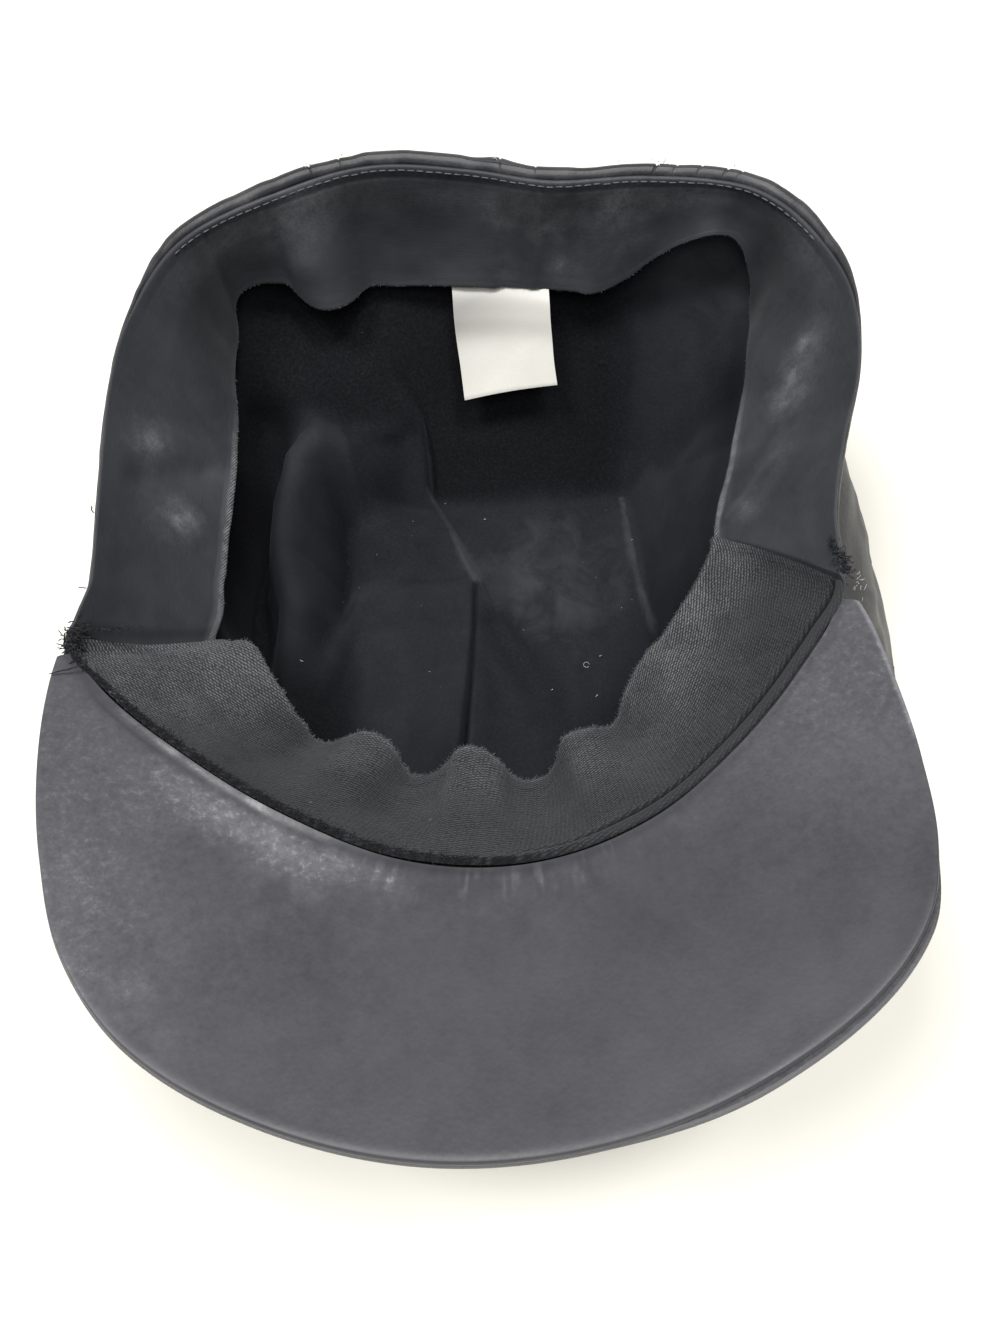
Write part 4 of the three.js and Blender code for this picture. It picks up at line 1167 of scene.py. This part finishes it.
def dust_and_painted_light(x, y):
    """Painted light and shade on the lining, with some paler patches: how much paler than plain
    cotton it is, and below 0 how much darker.
    """
    dust_and_painted_shade = strips(x, y, LINE_PAINTED_SHADE) + 0.3 * smooth(x, 46, 54) * sink(y, 38, 46)
    dust_and_painted_shade += 0.4 * window(-x, 2, 9, 34, 44) * sink(y, 8, 22)
    dust_and_painted_shade += 0.42 * bell(np.hypot((x - 13) / 27, (y - 14) / 26), 1)
    dust_and_painted_shade += 0.5 * bell(np.hypot((x - 52) / 10, (y - 26) / 20), 1)
    # painted shadow over the rear of the lining and the lobe, lifted a little in the right rear
    # corner, and painted shade in the left crevice
    rear = smooth(y, 42.5, lerp(46.5, 62, smooth(x, 38, 46))) * window(x, -18, -13, 34, 50)
    corner = smooth(x, 34, 50) * smooth(y, 50, 64)
    lobe = smooth(y, 46, 60) * sink(x, -18, -13)
    dust_and_painted_shade -= 0.95 * (rear - 0.5 * corner + lobe) + 0.85 * sink(x, -64, -58)
    # painted shade beside the roll and in the slit
    dust_and_painted_shade -= 0.35 * bell(line_place(x, y, ROLL[:, :2])[0] - 12.5, 3)
    gap, share = line_place(x, y, SLIT)
    dust_and_painted_shade -= 1.2 * bell(-gap - 0.9, lerp(0.5, 1.1, share)) * smooth(share, 0, 0.05)
    # painted light on the wall past its fold
    gap, share = line_place(x, y, WALL_FOLD)
    return dust_and_painted_shade + 0.5 * step(gap, -0.5, 0.9, 14) * fade_ends(share, 0.12, 0.15)


def lining():
    """The bag, in columns down its wall and in along its floor to the head of the slit."""
    crowded = [(254.5, 2.2, 7), (258, 6, 2), (107.5, 2.2, 5), (44, 4, 2), (358, 6, 1)]
    angle = spread_places(0, 360, 341, crowded)[:-1, None]
    top, knee, floor = lining_radii(angle)
    wall = np.concatenate([np.linspace(0, 1, 13)[:-1], np.linspace(1, 2, 36)])[None]
    high, low = np.minimum(wall, 1), np.clip(wall - 1, 0, 1)
    upper = point(angle, lerp(top, knee, high), lerp(LINING_TOP, LINING_KNEE, high))
    lower = point(angle, lerp(knee, floor, low), lerp(LINING_KNEE, LINING_FLOOR, low))
    side = np.where(wall[..., None] <= 1, upper, lower)
    apex = np.array([*SLIT[0], LINING_FLOOR])
    inwards = np.linspace(0, 1, 48)[1:-1, None] ** 0.92
    face = np.concatenate([side, lerp(side[:, -1:], apex, inwards)], axis=1)

    row = np.arange(face.shape[1])
    for _ in range(3):
        near_foot = bell(row - (wall.shape[1] - 1), 4)[:, None]
        face = lerp(face, soften(face, 2), near_foot)
    calm = 1 - np.interp(row, [0, 6, 12, 24], [1, 1, 0.6, 0])[None]
    up = np.interp(row, [32, 42, 47, 50], [0, 0.6, 1, 1])[:, None]
    x, y = face[..., 0], face[..., 1]
    blotchy = bell(np.hypot(x - 20, y - 14), 24)
    rumple = 0.55 * noise(face, 16, 81) + 0.25 * noise(face, 6, 82)
    rumple += blotchy * 0.75 * noise(face, 8.5, 83) + 0.9 * noise(face, (26, 26, 20), 84)
    lift = folds(x, y) + rumple * (0.3 + 0.7 * np.minimum(row[::-1] / 8, 1))
    # paler blotches, and painted highlights along the floor crease and the right crease
    worn = 0.8 * blotchy + 0.9 * bell(line_place(x, y, FLOOR_CREASE)[0] + 0.6, 1.5)
    worn += 0.9 * bell(line_place(x, y, RIGHT_CREASE)[0], 1.0) * (y < 44) * (x > 30)
    face = face + lerp(grid_normals(face, True), (0, 0, 1.0), up) * (lift * calm)[..., None]
    raise_roll(face)
    face = soften(face, 6)

    back = face - grid_normals(face, True) * BAG_CLOTH
    middle = face[:, -1].mean(0)
    worn += 0.25 * smooth(noise(face, 12, 85), 0, 0.8)
    x, y, z = (face[..., k] for k in range(3))
    # marks for the cotton: painted light in the right rear corner, and the painted light, shade and
    # dust of the floor and its folds
    place = grid(smooth(x, 46, 58) * smooth(z, 48, 70), 0, dust_and_painted_light(x, y))
    poles = [middle, middle - (0, 0, BAG_CLOTH)]
    piece = shell("lining_cotton", face, back, True, (2, 0), poles, place, worn)
    dress(piece, COTTON_LOOK, "cotton", "lining")
    return face


lining_face = lining()


# ---- Label ----

LABEL_SIZE = (26, 37)
LABEL_CLOTH = 0.3


def size_label():
    """The label, in columns that run down from its sewn edge behind the sweatband."""
    rows = np.linspace(0, len(LABEL_ROWS) - 1, 50)
    edges = [curve(np.arange(len(LABEL_ROWS)), column)(rows) for column in LABEL_ROWS.T]
    across = np.linspace(0, 1, 34)[:, None]
    face = lerp(grid(*edges[:3])[None], grid(*edges[3:])[None], across[..., None])
    down = (rows / rows.max())[None]
    bow = 1.1 * np.sin(math.pi * across) * (1 - 0.5 * down)
    wave = 0.2 * np.sin(across * 5.2 + 0.6) * down + 0.15 * np.sin(down * 8 + across * 3)
    face[..., 1] += bow - 0.6 * wave
    face[..., 2] += 0.8 * wave
    normal = grid_normals(face)
    back = face + normal * np.sign(normal[..., 1:2]) * LABEL_CLOTH
    place = grid(LABEL_SIZE[0] * across, LABEL_SIZE[1] * down, 0)
    piece = shell("size_label_satin", face, back, arcs=(2, 2), place=place)
    return dress(piece, SATIN_LOOK, "satin", "size_label")


label_piece = size_label()


# ---- Stitches, frayed ends and lint ----

rng = np.random.default_rng(7)


def row_line(values, fall, distance):
    """Points or normals at a distance down each of a grid's columns."""
    return np.stack(
        [[np.interp(distance, f, v[:, k]) for k in range(3)] for f, v in zip(fall, values)]
    )


def lifted_line(face, fall, distance, normal, lift):
    base, up = row_line(face, fall, distance), row_line(normal, fall, distance)
    return base + lift * up / np.linalg.norm(up, axis=1, keepdims=True)


def stitches(line, pitch, length, radius, wobble=0.05):
    """Short threads laid end to end along a line."""
    gone = lengths(line, 0)
    found = []
    for start in np.arange(0.6, gone[-1] - length, pitch):
        places = start + length * np.linspace(0, 1, 5) + rng.normal(0, wobble)
        points = np.stack([np.interp(places, gone, line[:, k]) for k in range(3)], -1)
        found.append((points + rng.normal(0, wobble, 3), radius))
    return found


def turns_of(line):
    return np.degrees(np.arctan2(line[:, 1], line[:, 0])) % 360


rear_line = lifted_line(rear_face, rear_fall, 0.7, rear_normal, 0.08)
rear_turns = turns_of(rear_line)
rear_rows = stitches(rear_line[(rear_turns > 34) & (rear_turns < 138)], 2.3, 1.7, 0.17)
dress(tubes("rear_seam_stitches", rear_rows), GREY_THREAD_LOOK, "coated_cloth")

PANEL_STITCH = (3.3, 2.5, 0.24)
leather_rows = []
for face in crown_faces:
    fall, outward = lengths(face, 1), -grid_normals(face)
    for distance in (4.7, fall[:, -1].min() - 4.7):
        line = lifted_line(face, fall, distance, outward, 0.12)
        leather_rows += stitches(line, *PANEL_STITCH)
    for column in (5, -6):
        line = face[column, 4:-4] + 0.12 * outward[column, 4:-4]
        leather_rows += stitches(line, *PANEL_STITCH)
band_fall, band_out = lengths(hat_band_face, 1), -grid_normals(hat_band_face, True)
hem_line = lifted_line(hat_band_face, band_fall, 5.6, band_out, 0.1)
hem_turns = turns_of(hem_line)
beside_peak = (hem_turns < PEAK_START - 5) | (hem_turns > PEAK_END + 5)
quarter = len(hem_line) // 4
hem_line = np.roll(hem_line, quarter, axis=0)[np.roll(beside_peak, quarter)]
leather_rows += stitches(hem_line, 3.0, 2.2, 0.22)
low_line = lifted_line(
    hat_band_face, band_fall, band_fall[:, -1].min() - 4.6, band_out, 0.1
)
leather_rows += stitches(low_line, *PANEL_STITCH)
dress(tubes("leather_seam_stitches", leather_rows, 5), THREAD_LOOK, "leather")


def wander(start, direction, length, curl, count=9):
    """A loose thread that starts in a direction and curls as it goes."""
    direction = np.asarray(direction, float) / np.linalg.norm(direction)
    here = np.asarray(start, float)
    points = [here]
    for _ in range(count - 1):
        direction = direction + rng.normal(0, curl, 3)
        direction /= np.linalg.norm(direction)
        here = here + direction * length / (count - 1)
        points.append(here)
    return np.array(points)


def tuft(centre, spread, directions, count, longest, radius):
    """Loose threads that start about a centre, each in one of a few directions."""
    found = []
    for _ in range(count):
        start = np.asarray(centre) + rng.normal(0, 1, 3) * spread
        toward = directions[rng.integers(len(directions))] + rng.normal(0, 0.45, 3)
        length = longest * rng.uniform(0.35, 1)
        found.append((wander(start, toward, length, 0.33), radius * rng.uniform(0.7, 1.2)))
    return found


LEFT_OUT = np.array([(-1, 0.25, 0.3), (-0.8, -0.4, 0.5), (-0.6, 0.7, 0.3), (0.6, 0.15, 0.35)])
RIGHT_OUT = np.array([(1, 0.1, 0.2), (0.6, -0.5, 0.3), (0.5, 0.7, 0.4)])
RIM_OUT = np.array([(0, 0.4, 1.0), (0.5, 0.1, 0.8)])

frayed = tuft((-84.6, -36.5, 95.2), (1.0, 1.7, 0.5), LEFT_OUT, 190, 2.3, 0.13)
frayed += tuft((-79.0, -33.6, 93.9), (3.4, 0.25, 0.15), LEFT_OUT, 190, 0.8, 0.1)
frayed += tuft((68.5, -31.4, 94.9), (0.7, 1.5, 0.5), RIGHT_OUT, 150, 1.9, 0.12)
frayed += tuft((67.8, -27.6, 94.8), (0.6, 1.4, 0.4), RIGHT_OUT, 50, 1.5, 0.11)
frayed.append((wander((-88, -44.5, 98.4), (1, 0.1, 0.15), 7, 0.1), 0.17))
for turn in (184.5, 196.2):
    start = point(turn, rim_radius(turn) - 0.2, 94.4)
    frayed.append((wander(start, (-1, 0.4, 0.4), 1.9, 0.5), 0.13))
dress(tubes("frayed_threads", frayed, 4), THREAD_LOOK, "ribbed_cloth")

pale = tuft((71.4, -36.3, 93.8), (0.8, 1.5, 0.4), RIGHT_OUT, 10, 1.9, 0.034)
for turn in (60.2, 59.3, 113.2, 108.3, 50.2, 65.2, 84.9):
    centre = point(turn, rim_radius(turn) - 0.3, 95.4)
    pale += tuft(centre, (0.4, 0.4, 0.2), RIM_OUT, 5, 1.6, 0.07)
dress(tubes("pale_fibres", pale, 4), PALE_THREAD_LOOK, "ribbed_cloth")


def edge_fuzz(face, normal, count, longest, radius):
    """Short fibres that stand out of a cloth's free edge."""
    found = []
    for _ in range(count):
        i = rng.integers(3, face.shape[0] - 3)
        start = face[i, -1] + rng.normal(0, 0.12, 3)
        down = face[i, -1] - face[i, -3]
        toward = down / np.linalg.norm(down) + normal[i, -1] * rng.uniform(0, 1.2)
        toward = toward + rng.normal(0, 0.5, 3)
        found.append((wander(start, toward, longest * rng.uniform(0.3, 1), 0.4, 4), radius))
    return found


fuzz = edge_fuzz(front_face, front_normal, 1500, 0.9, 0.045)
fuzz += edge_fuzz(rear_face, rear_normal, 700, 0.5, 0.04)
dress(tubes("edge_fuzz", fuzz, 3), GREY_THREAD_LOOK, "ribbed_cloth")


def nearest_point(face, x, y):
    near = np.argmin(np.hypot(face[..., 0] - x, face[..., 1] - y))
    return face.reshape(-1, 3)[near]


# Bits of lint that show: x, y, length
LINT = [
    (-11.1, 43.6, 1.4), (0.4, 38.3, 1.2), (14.7, -18, 0.9), (26.2, -22.4, 1.0),
    (-51.3, -11.6, 1.1), (29.2, -9.7, 0.9),
]
lint = []
for x, y, length in LINT:
    start = nearest_point(lining_face, x, y) + (0, 0, 0.25)
    lint.append((wander(start, (1, 0.3, 0.15), length, 0.5, 6), 0.1))
centre = nearest_point(lining_face, 24.7, -11.7) + (0, 0, 0.3)
turn = np.linspace(0, 5.6, 14)
ring = grid(0.8 * np.cos(turn), 0.8 * np.sin(turn), 0.1 * np.sin(2 * turn))
lint.append((centre + ring, 0.05))
for _ in range(14):
    x, y = rng.uniform(-45, 45), rng.uniform(-40, 42)
    start = nearest_point(lining_face, x, y) + (0, 0, 0.15)
    toward = rng.normal(0, 1, 3) * (1, 1, 0.1)
    lint.append((wander(start, toward, rng.uniform(0.4, 0.9), 0.4, 5), 0.035))
dress(tubes("lint", lint, 5), PALE_THREAD_LOOK, "cotton")

# dark fibres along the left half of the seam between the front band and the peak
seam_line = front_face[:, 0]
seam_turns = turns_of(seam_line)
columns = np.flatnonzero((seam_turns > 205.5) & (seam_turns < 264))
fibres = []
for _ in range(900):
    i = rng.choice(columns)
    out = seam_line[i] * (1, 1, 0) / np.hypot(*seam_line[i, :2])
    start = seam_line[i] + out * rng.normal(0.2, 0.3) + (0, 0, rng.uniform(-0.2, 0.3))
    toward = out * rng.uniform(-0.5, 1.2) + rng.normal(0, 0.6, 3) + (0, 0, 0.3)
    fibres.append((wander(start, toward, rng.uniform(0.5, 1.3), 0.35, 5), 0.06))
dress(tubes("seam_fibres", fibres, 3), THREAD_LOOK, "ribbed_cloth")


# ---- Floor, lights and camera, in metres ----

LIT_POINT = (0, 0, 0.05)
CAMERA_PLACE = (-0.00943, -0.13504, 0.290)
CAMERA_TILT, CAMERA_TURN = 24, -4.73
FOCAL_PIXELS, PHOTO_PIXELS = 1100, 1333
SENSOR = 36

bpy.ops.mesh.primitive_plane_add(size=14, location=(0, 0, -0.0002))
floor = bpy.context.object
floor.name = "floor"
floor.data.materials.append(floor_material())

world = bpy.data.worlds.new("studio")
bpy.context.scene.world = world
world.use_nodes = True
world.node_tree.nodes["Background"].inputs["Color"].default_value = (0.97, 0.985, 1, 1)
world.node_tree.nodes["Background"].inputs["Strength"].default_value = 0.3


def area_light(name, place, size, watts):
    """A round light that points at the middle of the cap."""
    data = bpy.data.lights.new(name, "AREA")
    data.shape = "DISK"
    data.size = size
    data.energy = watts
    lamp = bpy.data.objects.new(name, data)
    bpy.context.scene.collection.objects.link(lamp)
    lamp.location = place
    toward = bpy.context.scene.cursor.location.copy()
    toward[:] = [t - p for t, p in zip(LIT_POINT, place)]
    lamp.rotation_euler = toward.to_track_quat("-Z", "Y").to_euler()


area_light("key", (-0.84, 0.07, 2.26), 0.6, 32)
area_light("second", (0.45, 0.08, 2.4), 0.6, 33)
area_light("front_fill", (-0.05, -0.95, 1.95), 0.9, 12)

# the photograph's view, worked out from its outlines
camera = bpy.data.objects.new("camera", bpy.data.cameras.new("camera"))
bpy.context.scene.collection.objects.link(camera)
camera.location = CAMERA_PLACE
camera.rotation_euler = (math.radians(CAMERA_TILT), 0, math.radians(CAMERA_TURN))
camera.data.sensor_width = SENSOR
camera.data.lens = SENSOR * FOCAL_PIXELS / PHOTO_PIXELS
camera.data.clip_start = 0.01
bpy.context.scene.camera = camera
bpy.context.scene.view_settings.view_transform = "Standard"
